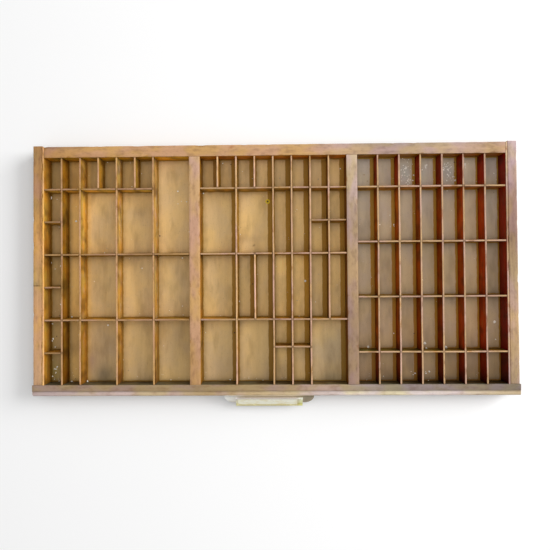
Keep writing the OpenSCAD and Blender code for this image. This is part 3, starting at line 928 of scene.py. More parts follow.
# %% Material: floor wood
FOOT_DIRT_AND_SHADE = (0.30, 0.145, 0.010)
SPECK = (0.10, 0.055, 0.02)
KNOT_RING = (0.62, 0.44, 0.01)
KNOT_HEART = (0.05, 0.02, 0.01)


def floor_wood(name, light, dark, dust_and_shade, knot=None):
    """Bare boards, darkened near the walls by dust and painted shade, with a line of dirt and painted shade
    at their feet.
    """
    paint, shader = new_paint(name)
    tree = paint.node_tree
    place = place_mm(tree)
    band, fibre, pores, blotch = figure_at(place)
    depth = band * 0.08 + fade(fibre, 0.3, 0.7) * 0.18 + fade(blotch, 0.35, 0.7, -0.1, 0.3)
    colour = mixed(depth.held(), light, dark)
    slow = patches(place, (0.022, 0.018, 0.02), 3.0, 0.55, 0.38, 0.64)
    colour = tinted(colour, mixed(slow, (1.04, 1.03, 0.96), (0.95, 0.96, 1.04)))
    mottled = patches(place, (0.06, 0.022, 0.06), 3.0, 0.5, 0.48, 0.74)
    colour = mixed(mottled * 0.28, colour, dust_and_shade)
    scuffed = patches(place, (0.16, 0.03, 0.16), 3.0, 0.55, 0.50, 0.76)
    colour = mixed(scuffed * 0.22, colour, tuple(min(1.0, 1.25 * channel) for channel in light))
    ragged = noise(place, 0.10, 3.0, 0.5)
    # Dust and painted shade: the floor darkens towards the nearest wall, within about 15 mm.
    colour = mixed(fade(ragged * 8.0 + attribute(tree, "drift_and_shade"), 15.0, 3.0) * 0.45, colour, dust_and_shade)
    # Dirt and painted shade: a dark line along the foot of every wall.
    colour = mixed(fade(ragged * 2.0 + attribute(tree, "wall"), 3.1, 2.0) * 0.97, colour, FOOT_DIRT_AND_SHADE)
    colour = mixed(patches(place, 0.8, 1.0, 0.5, 0.70, 0.74) * 0.6, colour, SPECK)
    colour = mixed(pores * 0.25, colour, dark)
    if knot:
        values = {0: place, 1: (*knot, FLOOR_Z)}
        off = Signal(add(tree, "ShaderNodeVectorMath", values, operation="DISTANCE"), "Value")
        colour = mixed(fade(off, 4.6, 3.6, 0.0, 0.9), colour, KNOT_RING)
        colour = mixed(fade(off, 1.9, 1.3, 0.0, 0.95), colour, KNOT_HEART)
    colour = tinted(colour, attribute(tree, "mark", "Color"))
    dress(shader, colour, blotch * 0.2 + 0.5, fibre * 0.8 - pores, strength=0.2, shine=0.25)
    return paint


KNOT_AT = (-9.5, 119.5)
warm_floor = floor_wood("floor_wood", (0.68, 0.46, 0.21), (0.50, 0.31, 0.125), (0.27, 0.17, 0.06), KNOT_AT)
grey_floor = floor_wood("grey_floor_wood", (0.47, 0.36, 0.245), (0.34, 0.25, 0.155), (0.19, 0.14, 0.085))
print("floors:", warm_floor.name, grey_floor.name)

# %% Helper: a bottom panel as a fine grid
GRID_MM = 2.6
# How far the dust and painted shade reach from the walls on a point's left, right, front and back; a larger
# number means a shorter reach.
DRIFT_AND_SHADE_REACH = np.array((1.0, 4.0, 1.8, 1.2))
BOX_TINT = np.array((0.95, 1.0, 1.1))
# How many mm wider the dark foot line lies, as painted shade, beside the walls that face left, by place
# across the tray.
PAINTED_SHADE_FOOT = ((-400, -145, -135, -60, 140, 150, 280, 400), (2.0, 2.4, 8.2, 7.0, 6.4, 5.4, 3.0, 0.6))


def bottom_panel(node, wood, age, marks=()):
    """A panel with a gridded top, straight edges and a plain underside."""
    low, high = box_mm(node)
    counts = [round((high[i] - low[i]) / GRID_MM) for i in (0, 1)]
    xs, ys = (np.linspace(low[i], high[i], counts[i] + 1) for i in (0, 1))
    grid = np.array([(x, y, high[2]) for y in ys for x in xs])
    first = len(grid)
    numbers = np.arange(first).reshape(len(ys), len(xs))
    quads = np.stack([numbers[:-1, :-1], numbers[:-1, 1:], numbers[1:, 1:], numbers[1:, :-1]], 2)
    rim = np.concatenate([numbers[0], numbers[1:, -1], numbers[-1, -2::-1], numbers[-2:0:-1, 0]]).tolist()
    under = grid[rim] * (1, 1, 0) + (0, 0, low[2] + 0.3)
    count = len(rim)
    sides = [(rim[(i + 1) % count], rim[i], first + i, first + (i + 1) % count) for i in range(count)]
    base = [tuple(first + i for i in reversed(range(count)))]
    mesh = bpy.data.meshes.new(node)
    corners = [tuple(p * MM) for p in np.vstack([grid, under])]
    mesh.from_pydata(corners, [], quads.reshape(-1, 4).tolist() + sides + base)
    points = points_of(mesh)
    found = wall_distances(points)
    own = 0.93 + 0.14 * box_of(points, found)[:, None] * BOX_TINT
    # Painted light: the floor is lightened within about 9 mm of the wall on its right, against that wall's
    # shade.
    lift = 1 + 0.28 * np.exp(-(found[:, 1:2] / 9.0) ** 2)
    set_colours(mesh, "mark", soft_marks(points, marks) * age(points) * own * lift)
    set_floats(mesh, "drift_and_shade", (found * DRIFT_AND_SHADE_REACH).min(1))
    # Painted shade: the dark foot line is widened beside the walls that face left.
    found[:, 1] = np.maximum(found[:, 1] - np.interp(points[:, 0], *PAINTED_SHADE_FOOT), 0.0)
    set_floats(mesh, "wall", found.min(1))
    mesh.materials.append(wood)
    return put_in_tray(mesh, "worn_" + node, node)


# It prints how much wider the painted shade lies beside the walls that face left.
print(f"painted shade at the feet: {min(PAINTED_SHADE_FOOT[1])} to {max(PAINTED_SHADE_FOOT[1])} mm wider on one side")

# %% [markdown]
# ## How the floors have aged
# The floors of the three bays differ. The left bay is brown where small type lay and light in its large
# boxes, the middle bay is lightest in its narrow boxes, and the right bay is grey. Stains of single places
# are soft marks.

# %% Bottom panels
BACK_ROW_Y = 140.0
FRONT_ROW_Y = -91.0
LEFT_AGE = [(-392, 0.82, 0.81, 0.72), (-362, 0.82, 0.81, 0.74), (-352, 1.24, 1.12, 0.80),
            (-325, 1.32, 1.21, 0.86), (-318, 1.05, 1.04, 0.98), (-200, 1.14, 1.13, 1.08)]
MIDDLE_AGE = [(-190, 0.9, 0.9, 0.92), (-90, 1.05, 1.05, 0.97), (60, 1.22, 1.22, 1.12),
              (190, 1.15, 1.15, 1.1)]
RIGHT_AGE = [(-190, 0.96, 0.82, 0.62), (-140, 1.06, 0.95, 0.78), (-100, 1.18, 1.10, 0.93),
             (0, 1.18, 1.16, 1.02), (190, 1.26, 1.42, 1.6)]


def left_age(points):
    """The first column and the back row have seen the most small type, and are brown with it."""
    x, y = points[:, :1], points[:, 1:2]
    back_row = np.where(x > -322, (0.72, 0.70, 0.64), (0.82, 0.80, 0.75))
    worn = np.where((y > BACK_ROW_Y) & (x < -203), back_row, 1.0)
    return along(points, 0, LEFT_AGE) * worn * np.where(y < FRONT_ROW_Y, 0.88, 1.0)


def middle_age(points):
    """The narrow boxes in the middle of this bay are the least used, so their floors have stayed light."""
    x, y = points[:, :1], points[:, 1:2]
    worn = np.where((x > 3) & (x < 64) & (y < 30), (1.35, 1.33, 1.2), 1.0)
    worn = np.where((x < -93) & (y > BACK_ROW_Y), (0.74, 0.70, 0.62), worn)
    return along(points, 1, MIDDLE_AGE) * worn


def right_age(points):
    """This bay's last column is darker than the others."""
    return along(points, 1, RIGHT_AGE) * np.where(points[:, :1] > 355, 0.84, 1.03)


LEFT_MARKS = [(-309, -150, 30, 46, 0.74, 0.75, 0.95), (-298, -182, 17, 16, 0.50, 0.54, 0.62),
              (-321, -160, 7, 16, 0.85, 0.82, 0.95), (-398, -130, 14, 50, 0.92, 0.95, 0.85),
              (-385, -175, 12, 16, 0.86, 0.95, 0.80), (-240, 10, 12, 30, 0.90, 0.90, 0.95),
              (-165, -120, 35, 45, 0.88, 0.88, 0.88), (-160, -30, 10, 35, 0.92, 0.93, 0.98),
              (-160, 110, 20, 30, 1.06, 1.07, 1.1), (-330, 40, 10, 8, 0.85, 0.83, 0.85),
              (-300, 45, 8, 7, 0.85, 0.83, 0.85), (-270, -196, 120, 7, 0.72, 0.72, 0.70)]
MIDDLE_MARKS = [(98, -140, 50, 45, 0.82, 0.88, 1.02), (98, -186, 30, 9, 0.72, 0.76, 0.85),
                (16, -178, 10, 18, 0.75, 0.76, 0.86), (60, -140, 12, 14, 0.92, 0.93, 0.96),
                (-90, -150, 18, 30, 0.92, 0.93, 1.0), (-34, 43, 1.6, 1.6, 0.45, 0.40, 0.35),
                (-40, 55, 26, 7, 0.86, 0.84, 0.86), (100, 150, 20, 14, 1.05, 1.05, 1.1),
                (80, 20, 14, 30, 1.04, 1.03, 0.9), (0, -196, 125, 7, 0.74, 0.74, 0.72)]
RIGHT_MARKS = [(230, 166, 12, 16, 0.84, 0.97, 1.1), (306, 170, 11, 15, 0.90, 1.0, 1.12),
               (258, 164, 10, 14, 0.86, 0.96, 1.06), (240, -110, 20, 30, 0.97, 0.93, 0.86),
               (330, -178, 40, 14, 0.85, 0.82, 0.78), (190, -180, 30, 10, 0.86, 0.84, 0.82),
               (270, -195, 130, 8, 0.62, 0.62, 0.64)]

bottom_panel("left_bottom_panel", warm_floor, left_age, LEFT_MARKS)
bottom_panel("middle_bottom_panel", warm_floor, middle_age, MIDDLE_MARKS)
bottom_panel("right_bottom_panel", grey_floor, right_age, RIGHT_MARKS)
print("bottom panels: 3")

# %% [markdown]
# ## Metal that has aged
# Bronze and brass go dull in the open and stay bright where fingers rub. The material mixes bare metal with
# a dull skin by two noises. The corner attribute brightens eased corners, and the mark attribute darkens or
# lightens single places.

# %% Material: aged metal
def old_metal(name, bare, skin, cover, rough, metallic=0.9, dents=0.12):
    """Metal under a tarnish. cover is how much of it is tarnished, rough the roughness of the bare metal."""
    paint, shader = new_paint(name)
    tree = paint.node_tree
    place = place_mm(tree)
    clouded = noise(place, (0.10, 0.16, 0.16), 4.0, 0.6, 0.6)
    freckles = noise(place, 0.9)
    tarnish = fade(freckles * 0.35 + clouded, 1.05 - cover, 0.75 - cover * 0.5, 1.0, 0.0)
    dull = (tarnish - attribute(tree, "corner") * 0.6).held()
    colour = mixed(fade(freckles, 0.64, 0.72) * 0.5, mixed(dull, bare, skin), (0.05, 0.035, 0.02))
    colour = tinted(colour, attribute(tree, "mark", "Color"))
    relief = noise(place, (0.25, 3.0, 3.0), 2.0, 0.6) * 0.4 + clouded
    dress(shader, colour, dull * 0.3 + rough, relief, strength=0.3, depth=dents)
    plug(shader, {"Metallic": metallic})
    return paint


bronze = old_metal("bronze", (0.50, 0.41, 0.29), (0.18, 0.14, 0.09), 0.75, 0.32)
brass = old_metal("brass", (0.82, 0.80, 0.40), (0.60, 0.56, 0.28), 0.45, 0.30, metallic=0.7)
iron = old_metal("iron", (0.34, 0.30, 0.27), (0.14, 0.075, 0.045), 0.7, 0.45, dents=0.3)
print("metals:", ", ".join(m.name for m in (bronze, brass, iron)))

# %% [markdown]
# ## The hood of the pull
# The hood is one thin shell: a sloping face, a rounded wing at each end, and a finger space that is open
# behind and below. It is lofted from rings. Each ring is one section of the metal, outside down and inside
# back up, with its corners rounded, and the rings turn round the wings. Two flat ears carry the screws.

# %% Helpers: sections of the hood
HOOD_SLOPE = math.radians(43)
HOOD_METAL = 1.6
LEAST_ROOM = 0.1
FACE_W = 120
EAR_H = 15
WING_W = 152
hood_low, hood_high = box_mm("pull_hood")
pull_x = (hood_low[0] + hood_high[0]) / 2
nose_y = hood_high[1]
pull_top = hood_high[2]
hood_out = nose_y - hood_low[1]
hood_h = hood_high[2] - hood_low[2]
wing = (WING_W - FACE_W) / 2


def from_nose(out, across, up):
    """A point of the pull in metres: out from the nose, across from the pull's middle, up from its top."""
    return Vector((pull_x + across, nose_y - out, pull_top + up)) * MM


def rounded_line(points, radius, bends=3, parts=3):
    """An open line through 3-D points with its inner corners rounded and its straights parted evenly."""
    points = [np.array(p, float) for p in points]
    made = [points[0]]
    for before, here, after in zip(points, points[1:], points[2:]):
        back, on = before - here, after - here
        reach = [min(radius, 0.45 * np.linalg.norm(v)) for v in (back, on)]
        start = here + back / max(np.linalg.norm(back), 1e-9) * reach[0]
        end = here + on / max(np.linalg.norm(on), 1e-9) * reach[1]
        made += [made[-1] + (start - made[-1]) * i / parts for i in range(1, parts)]
        for i in range(bends + 1):
            t = i / bends
            made.append((1 - t) ** 2 * start + 2 * t * (1 - t) * here + t ** 2 * end)
    made += [made[-1] + (points[-1] - made[-1]) * i / parts for i in range(1, parts + 1)]
    return made


def hood_ring(across_out, out, across_in, inside):
    """One section of the shell: its outer line down, then its inner line back up."""
    run = math.tan(HOOD_SLOPE)
    skin = HOOD_METAL / math.cos(HOOD_SLOPE)
    level = HOOD_METAL - (skin - HOOD_METAL) / run
    outer = [(0, across_out, 0), (min(HOOD_METAL, out), across_out, 0),
             (out, across_out, -(out - HOOD_METAL) * run), (out, across_out, -hood_h)]
    ceiling = max((inside - HOOD_METAL) * run + skin, HOOD_METAL + 0.05)
    inner = [(inside, across_in, -hood_h), (inside, across_in, -ceiling),
             (min(level, inside), across_in, -HOOD_METAL), (0, across_in, -HOOD_METAL)]
    return rounded_line(outer, 0.9) + rounded_line(inner, 0.5)


print(f"pull: {hood_out:.1f} mm out, {hood_h:.1f} mm high")

# %% The hood and its ears
columns = [(-1, math.radians(angle), 0) for angle in range(90, 0, -9)]
columns += [(0, 0, across) for across in np.linspace(-FACE_W / 2, FACE_W / 2, 31)]
columns += [(1, math.radians(angle), 0) for angle in range(9, 91, 9)]
rings = []
for side, angle, across in columns:
    inside = LEAST_ROOM + (hood_out - HOOD_METAL - LEAST_ROOM) * math.cos(angle)
    middle = side * FACE_W / 2 + across
    rings.append(hood_ring(middle + side * wing * math.sin(angle), inside + HOOD_METAL,
                           middle + side * (wing - HOOD_METAL) * math.sin(angle), inside))

hood_form = bmesh.new()
grid = [[hood_form.verts.new(from_nose(*point)) for point in ring] for ring in rings]
count = len(rings[0])
for ring, following in zip(grid, grid[1:]):
    for i in range(count):
        j = (i + 1) % count
        hood_form.faces.new((ring[i], ring[j], following[j], following[i]))
for ring, turned in ((grid[0], True), (grid[-1], False)):
    for i in range(count // 2 - 1):
        face = (ring[i], ring[i + 1], ring[count - 2 - i], ring[count - 1 - i])
        hood_form.faces.new(face[::-1] if turned else face)

ear_curve = np.linspace(-math.pi / 2, math.pi / 2, 17)[1:-1]
for side in (-1, 1):
    start = side * (WING_W / 2 - HOOD_METAL)
    end = side * (hood_high[0] - pull_x - EAR_H / 2)
    curve = [(end + side * EAR_H / 2 * math.cos(a), EAR_H / 2 * math.sin(a)) for a in ear_curve]
    outline = [(start, -EAR_H / 2), (end, -EAR_H / 2), *curve, (end, EAR_H / 2), (start, EAR_H / 2)]
    near, far = ([hood_form.verts.new(from_nose(out, across, up - hood_h / 2)) for across, up in outline]
                 for out in (0, HOOD_METAL))
    hood_form.faces.new(near)
    face = hood_form.faces.new(far[::-1])
    size = len(outline)
    for i in range(size):
        hood_form.faces.new((near[i], far[i], far[(i + 1) % size], near[(i + 1) % size]))
    bmesh.ops.bevel(hood_form, geom=face.edges[:], offset=0.45 * MM, segments=2, profile=0.5, affect="EDGES")
bmesh.ops.remove_doubles(hood_form, verts=hood_form.verts, dist=0.001 * MM)
bmesh.ops.recalc_face_normals(hood_form, faces=hood_form.faces)
hood_mesh = as_mesh(hood_form, "hood")
hood_points = points_of(hood_mesh)
set_floats(hood_mesh, "corner", np.exp(-((hood_points[:, 2] - pull_top) / 1.2) ** 2))
# Painted highlight and shade: the left wing is painted pale, as if glaring in the light, and the right wing
# dark, partly patina and partly painted shade.
HOOD_PATINA_AND_LIGHT = [(-78, 1.6, 1.95, 2.6), (-58, 1.4, 1.6, 2.0), (-40, 1.1, 1.1, 1.1), (40, 1.1, 1.1, 1.1),
            (62, 0.55, 0.55, 0.5), (78, 0.6, 0.6, 0.55)]
hood_tone = along(hood_points - (pull_x, 0, 0), 0, HOOD_PATINA_AND_LIGHT)
low_down = np.clip((pull_top - 9.0 - hood_points[:, 2:]) / 6.0, 0, 1)
set_colours(hood_mesh, "mark", hood_tone * (1 - low_down) + 0.5 * low_down)
hood_mesh.materials.append(bronze)
smooth(hood_mesh, 38)
put_in_tray(hood_mesh, "worn_pull_hood", "pull_hood")
print(f"hood: {len(rings)} rings of {count} points, {len(hood_mesh.polygons)} faces")

# %% [markdown]
# ## Label holder, card and screws
# The brass channel and the screws keep the shape of the construction, with eased edges on the channel. The
# card is a new sheet of old pasteboard: it bows very slightly in its channel, its corners are rubbed round,
# and it slides out to either side on a body of its own.

# %% Label holder and screws
METAL_PITCH = 4.0


def metal_copy(node, metal, eased, shortest, axis=None, marked=None):
    """A CAD node with eased corners and smooth round stretches, cut along an axis if its colour changes."""
    form = open_copy(node)
    if eased:
        ease(form, eased, shortest, segments=1)
    if axis is not None:
        low, high = box_mm(node)
        cut(form, axis, stations(low[axis], high[axis], METAL_PITCH))
    mesh = as_mesh(form, node)
    points = points_of(mesh)
    set_floats(mesh, "corner", np.zeros(len(points)))
    set_colours(mesh, "mark", marked(points) if marked else np.ones((len(points), 3)))
    values = {"Warp": 0.0, "Ripple": 0.0, "Nick": 0.0, "Seed": draw.random() * SEEDS, "Wood": metal}
    dented = run_tree(wear_tree, mesh, values)
    smooth(dented, 30)
    return put_in_tray(dented, "worn_" + node, node)


# Painted reflection: the upper lip is whitened and blued as if it mirrored the white above; the lower lip
# keeps the yellow of the brass.
LIP_PAINTED_REFLECTION = [(0.0, 1.15, 1.1, 2.0), (0.25, 1.1, 1.1, 1.7), (0.8, 1.15, 1.1, 1.1), (1.0, 1.1, 1.0, 0.95)]


def holder_tone_and_reflection(points):
    """The upper lip is painted pale as a reflection, both ends are paler, and the lower lip keeps the brass's
    yellow.
    """
    low, high = box_mm("label_holder")
    drop = (high[2] - points[:, 2:]) / (high[2] - low[2])
    ends = [(low[0], 1.1, 1.15, 1.3), (low[0] + 8, 1.0, 1.0, 1.0), (high[0] - 10, 1.0, 1.0, 1.0),
            (high[0] - 4, 1.25, 1.38, 1.3)]
    return along(drop, 0, LIP_PAINTED_REFLECTION) * along(points, 0, ends)


metal_copy("label_holder", brass, 0.22, 5.0, axis=0, marked=holder_tone_and_reflection)
metal_copy("pull_screws", iron, 0.0, 1.0)
print("label holder and screws made")

# %% Material: pasteboard
def pasteboard(name, fresh, aged, spots):
    """Old card: yellowed from its edges inwards, foxed, with short fibres."""
    paint, shader = new_paint(name)
    tree = paint.node_tree
    place = place_mm(tree)
    fibres = noise(place, (2.0, 5.0, 5.0), 2.0, 0.6)
    yellowed = fade(noise(place, (0.06, 0.12, 0.12), 4.0, 0.6), 0.42, 0.66, 0.0, 0.7)
    colour = mixed((yellowed + attribute(tree, "rim") * 0.6).held(), fresh, aged)
    colour = mixed(patches(place, 0.35, 3.0, 0.55, 0.63, 0.74) * 0.45, colour, spots)
    colour = mixed(fade(fibres, 0.5, 0.8, 0.0, 0.25), colour, aged)
    dress(shader, colour, fibres * 0.2 + 0.7, fibres, strength=0.2, depth=0.1, shine=0.2)
    return paint


card_paper = pasteboard("card_paper", (0.93, 0.92, 0.78), (0.84, 0.77, 0.52), (0.42, 0.26, 0.13))
print("paper:", card_paper.name)

# %% The card
CARD_T = 0.5
CARD_ROUND = 1.2
CARD_ROOM = 0.04
CARD_BOW = 0.035
card_low, card_high = box_mm("label_card")
card_l = card_high[0] - card_low[0]
down = Vector((0, -math.cos(HOOD_SLOPE), -math.sin(HOOD_SLOPE)))
lift = Vector((0, -math.sin(HOOD_SLOPE), math.cos(HOOD_SLOPE)))
card_h = ((card_high[2] - card_low[2]) - CARD_T * math.cos(HOOD_SLOPE)) / math.sin(HOOD_SLOPE)
card_top = Vector(((card_low[0] + card_high[0]) / 2, 0, 0))
card_top += Vector((0, card_high[1], card_high[2] - CARD_T * math.cos(HOOD_SLOPE)))


def card_point(across, down_by, above):
    """A point of the card: across from its middle, down its slope, and above its underside, in metres."""
    return (card_top + Vector((across, 0, 0)) + down * down_by + lift * above) * MM


card_form = bmesh.new()
columns = np.linspace(-card_l / 2, card_l / 2, 52)
rows = np.linspace(0, card_h, 13)
for above, turned in ((CARD_ROOM, True), (CARD_T - CARD_ROOM, False)):
    layer = []
    for down_by in rows:
        cut_back = max(0, CARD_ROUND - min(down_by, card_h - down_by)) ** 2 / (2 * CARD_ROUND)
        shy = 1 - cut_back / (card_l / 2)
        free = 1 - abs(2 * down_by / card_h - 1)
        bows = [CARD_BOW * math.sin(across / 11 + down_by / 17) * free for across in columns]
        layer.append([card_form.verts.new(card_point(across * shy, down_by, above + bow))
                      for across, bow in zip(columns, bows)])
    for row, following in zip(layer, layer[1:]):
        for i in range(len(columns) - 1):
            quad = (row[i], row[i + 1], following[i + 1], following[i])
            card_form.faces.new(quad if turned else quad[::-1])
bmesh.ops.bridge_loops(card_form, edges=[e for e in card_form.edges if e.is_boundary])
bmesh.ops.recalc_face_normals(card_form, faces=card_form.faces)
card_mesh = as_mesh(card_form, "card")
card_points = points_of(card_mesh)
from_end = card_l / 2 - np.abs(card_points[:, 0] - card_top[0])
from_lip = np.minimum(card_points[:, 2] - card_low[2], card_high[2] - card_points[:, 2])
set_floats(card_mesh, "rim", np.exp(-np.minimum(from_end, from_lip * 1.4) / 3.5))
card_mesh.materials.append(card_paper)
smooth(card_mesh, 30)
put_in_tray(card_mesh, "old_label_card", "label_card", body="card")
print(f"card: {card_l:.1f} by {card_h:.1f} mm")

# %% [markdown]
# ## Nails, brads and crumbs
# What repeats is placed by a second Geometry Nodes tree: it sets a copy of one shape on every point, aims
# it along the point's own direction, turns it by a random angle and gives each copy a number for its
# colour. It drives the nails and brads, which the frame says where to put, and it scatters the crumbs that
# lie along the walls.

# %% Geometry Nodes: copies on points
def make_copies_tree():
    """Sets a copy of a shape on each point, along its aim, scaled by its size."""
    tree, (points, shape, seed, finish) = new_tree(
        "copies_on_points", Shape="Object", Seed="Int", Finish="Material")
    form = add(tree, "GeometryNodeObjectInfo", {"Object": shape}, transform_space="ORIGINAL")
    aim = carried(tree, "aim", "FLOAT_VECTOR")
    aimed = add(tree, "FunctionNodeAlignRotationToVector", {"Vector": aim}, axis="Z")
    set_down = add(tree, "GeometryNodeInstanceOnPoints", {
        "Points": points, "Instance": Signal(form, "Geometry"), "Rotation": Signal(aimed),
        "Scale": carried(tree, "size")})
    turn = add(tree, "FunctionNodeRandomValue", {"Max": 2 * math.pi, "Seed": seed}, data_type="FLOAT")
    turned = add(tree, "GeometryNodeRotateInstances", {
        "Instances": Signal(set_down), "Rotation": joined(tree, z=Signal(turn, "Value"))})
    own = add(tree, "FunctionNodeRandomValue", {"Seed": seed + 7}, data_type="FLOAT")
    values = {"Geometry": Signal(turned), "Name": "piece", "Value": Signal(own, "Value")}
    named = add(tree, "GeometryNodeStoreNamedAttribute", values, data_type="FLOAT", domain="INSTANCE")
    return end_tree(tree, named, finish)


copies_tree = make_copies_tree()


def copies(name, places, aims, sizes, shape_mesh, finish):
    """One mesh of many copies. Places are in mm, and sizes scale the shape."""
    shape = bpy.data.objects.new("shape", shape_mesh)
    points = bpy.data.meshes.new(name)
    points.from_pydata([tuple(np.array(p) * MM) for p in places], [], [])
    set_floats(points, "size", sizes)
    set_colours(points, "mark", np.ones((len(places), 3)))
    points.attributes.new("aim", "FLOAT_VECTOR", "POINT").data.foreach_set(
        "vector", np.asarray(aims, np.float32).ravel())
    made = run_tree(copies_tree, points, {"Shape": shape, "Seed": draw.randrange(1000), "Finish": finish})
    bpy.data.objects.remove(shape)
    made.name = name
    return made


print(f"copies tree: {len(copies_tree.nodes)} nodes")

# %% Nails and brads
NAIL_SIDES = 18
NAIL_HEAD_T = 0.8
# For each node: shank, head and length in mm, the axis, and the way the heads look, where 0 is outwards.
NAILS = {
    "front_nails": (2.0, 4.6, 45, 1, -1),
    "side_nails": (2.0, 4.6, 45, 0, 0),
    "back_nails": (2.0, 4.6, 45, 1, 1),
    "bottom_brads": (1.6, 3.4, 18, 2, -1),
}


def turned_form(name, profile, sides):
    """A round form from (radius, height) pairs in mm, from its tip to its head."""
    form = bmesh.new()
    rings = []
    for radius, height in profile:
        around = [(radius * math.cos(2 * math.pi * i / sides), radius * math.sin(2 * math.pi * i / sides))
                  for i in range(sides if radius else 1)]
        ring = [form.verts.new((x * MM, y * MM, height * MM)) for x, y in around]
        rings.append(ring if radius else ring * sides)
    for ring, following in zip(rings, rings[1:]):
        for i in range(sides):
            j = (i + 1) % sides
            form.faces.new(list(dict.fromkeys((ring[i], ring[j], following[j], following[i]))))
    return as_mesh(form, name)


def islands(node):
    """The box of each separate solid in a node, in mm."""
    form = bmesh.new()
    form.from_mesh(nodes[node].data)
    bmesh.ops.remove_doubles(form, verts=form.verts, dist=0.004 * MM)
    left = set(form.verts)
    boxes = []
    while left:
        group, edge = [], [left.pop()]
        while edge:
            point = edge.pop()
            group.append(point.co[:])
            for link in point.link_edges:
                other = link.other_vert(point)
                if other in left:
                    left.remove(other)
                    edge.append(other)
        corners = np.array(group) / MM
        boxes.append((corners.min(0), corners.max(0)))
    form.free()
    return sorted(boxes, key=lambda box: tuple(box[0].round(2)))


def nails(node, shank, head, length, axis, outwards):
    """New nails in the places of a node's solids. Returns how many."""
    places, aims = [], []
    for low, high in islands(node):
        middle = (low + high) / 2
        way = outwards or math.copysign(1, middle[axis])
        middle[axis] = high[axis] if way > 0 else low[axis]
        places.append(middle)
        aims.append([way * float(i == axis) for i in range(3)])
    profile = [(0, -length), (shank * 0.35, -length + 0.6), (shank / 2, -length + 4),
               (shank / 2, -NAIL_HEAD_T - 0.4), (shank * 0.62, -NAIL_HEAD_T), (head / 2 - 0.12, -NAIL_HEAD_T),
               (head / 2, -NAIL_HEAD_T + 0.15), (head / 2, -0.22), (head / 2 - 0.2, -0.08),
               (head * 0.25, 0.0), (0, -0.02)]
    shape = turned_form("nail", profile, NAIL_SIDES)
    mesh = copies(node, places, aims, np.ones(len(places)), shape, iron)
    smooth(mesh, 40)
    bpy.data.meshes.remove(shape)
    put_in_tray(mesh, "worn_" + node, node)
    return len(places)


print("nails and brads:", [nails(node, *sizes) for node, sizes in NAILS.items()])

# %% [markdown]
# ## Crumbs
# Paint flakes, wood crumbs and lint lie on the floors. Most of them rest within a few millimetres of a
# wall, and the first column, the front row and the back row of the grey bay hold the most. Larger pale
# flakes lie in a few clusters and on single places. Places are drawn with a fixed seed, and a place inside
# a wall is thrown away.

# %% Helpers: crumbs
CRUMBS = 300
TRIES = 40000
CLEAR_MM = 0.9
CLUSTERS = [(232, 166, 13, 16, 26), (238, 150, 8, 6, 8), (258, 158, 12, 12, 7), (268, 178, 5, 4, 5),
            (304, 172, 9, 15, 24), (312, 156, 8, 6, 6), (334, 180, 6, 5, 4), (180, 78, 9, 3, 7),
            (208, 75, 7, 3, 5), (-390, -115, 4, 14, 6), (-384, -176, 6, 14, 6), (255, -182, 30, 8, 8),
            (-160, 120, 14, 14, 4)]
SPECKS = [(-392, 129, 2.1), (-392, 15, 1.1), (-355, -194, 1.5), (-328, -193, 1.3), (-291, -95, 1.0),
          (-355, -80, 1.0), (-347, 88, 1.2), (381, -93, 1.6), (261, -129, 1.7), (263, -138, 1.3),
          (297, -136, 1.6), (163, -135, 1.4), (266, -195, 1.4), (-122, 135, 0.9), (55, -20, 1.3),
          (334, 181, 1.1), (-385, -171, 0.9), (-389, -184, 0.8)]


def crowding(x, y):
    """How many crumbs a place draws, from 0 to 1."""
    if x > 140 and y > 135:
        return 1.0 if 195 < x < 345 else 0.5
    if x < -362:
        return 0.9 if y < -60 else 0.45
    if y < -175:
        return 0.7
    return 0.10


def crumb_shape():
    """A small flat flake with uneven sides."""
    form = bmesh.new()
    bmesh.ops.create_icosphere(form, subdivisions=1, radius=0.5 * MM)
    for point in form.verts:
        point.co *= draw.uniform(0.7, 1.2)
        point.co.z *= 0.45
    return as_mesh(form, "crumb")


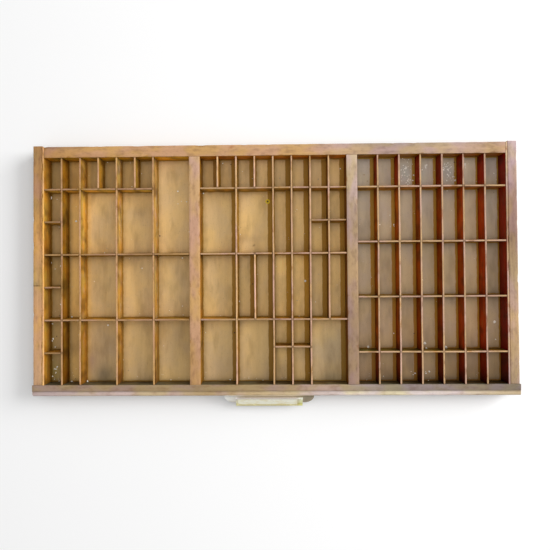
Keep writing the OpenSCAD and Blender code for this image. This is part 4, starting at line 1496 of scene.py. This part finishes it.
def crumb_paint(name, pale_share):
    """Pale flakes, tan wood and a few dark grains, by the number that each copy carries."""
    paint, shader = new_paint(name)
    piece = attribute(paint.node_tree, "piece")
    colour = mixed(fade(piece, pale_share, pale_share + 0.1), (0.97, 0.93, 0.82), (0.55, 0.42, 0.25))
    colour = mixed(fade(piece, pale_share + 0.32, pale_share + 0.36), colour, (0.08, 0.05, 0.03))
    plug(shader, {"Base Color": colour, "Roughness": 0.85})
    return paint


print(f"clusters: {len(CLUSTERS)}, single specks: {len(SPECKS)}")

# %% Scatter the crumbs
dice = np.random.default_rng(SEED)
tries = np.stack([dice.uniform(-390, 388, TRIES), dice.uniform(-193, 193, TRIES), np.full(TRIES, FLOOR_Z)], 1)
gaps = wall_distances(tries).min(1)
chances = np.array([crowding(x, y) for x, y, z in tries]) * np.exp(-gaps / 9)
pale = np.array([(x + reach_x * dice.normal() * 0.5, y + reach_y * dice.normal() * 0.5, FLOOR_Z)
                 for x, y, reach_x, reach_y, count in CLUSTERS for _ in range(count)])
pale = pale[wall_distances(pale).min(1) > CLEAR_MM]
lying = tries[(gaps > CLEAR_MM) & (gaps < 900) & (dice.random(TRIES) < chances)][:CRUMBS]
crumb_sizes = 0.8 + 1.8 * dice.random(len(lying)) ** 3
pale_sizes = np.append(1.5 + 2.2 * dice.random(len(pale)) ** 2, [3.2 * size for x, y, size in SPECKS])
pale = np.vstack([pale, [(x, y, FLOOR_Z) for x, y, size in SPECKS]])
stone = crumb_shape()
FLAKES = {"crumbs": (lying, crumb_sizes, 0.5), "pale_flakes": (pale, pale_sizes, 2.0)}
for name, (places, sizes, share) in FLAKES.items():
    lifted = places + np.outer(0.18 * sizes, (0, 0, 1))
    mesh = copies(name, lifted, [(0, 0, 1)] * len(lifted), sizes, stone, crumb_paint(name, share))
    piece = placed(name, mesh)
    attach(piece, "tray")
    print(f"{name}: {len(places)}, {len(mesh.polygons)} faces")
bpy.data.meshes.remove(stone)

# %% [markdown]
# ## Finish
# The visual model has to stay inside the box of the construction.
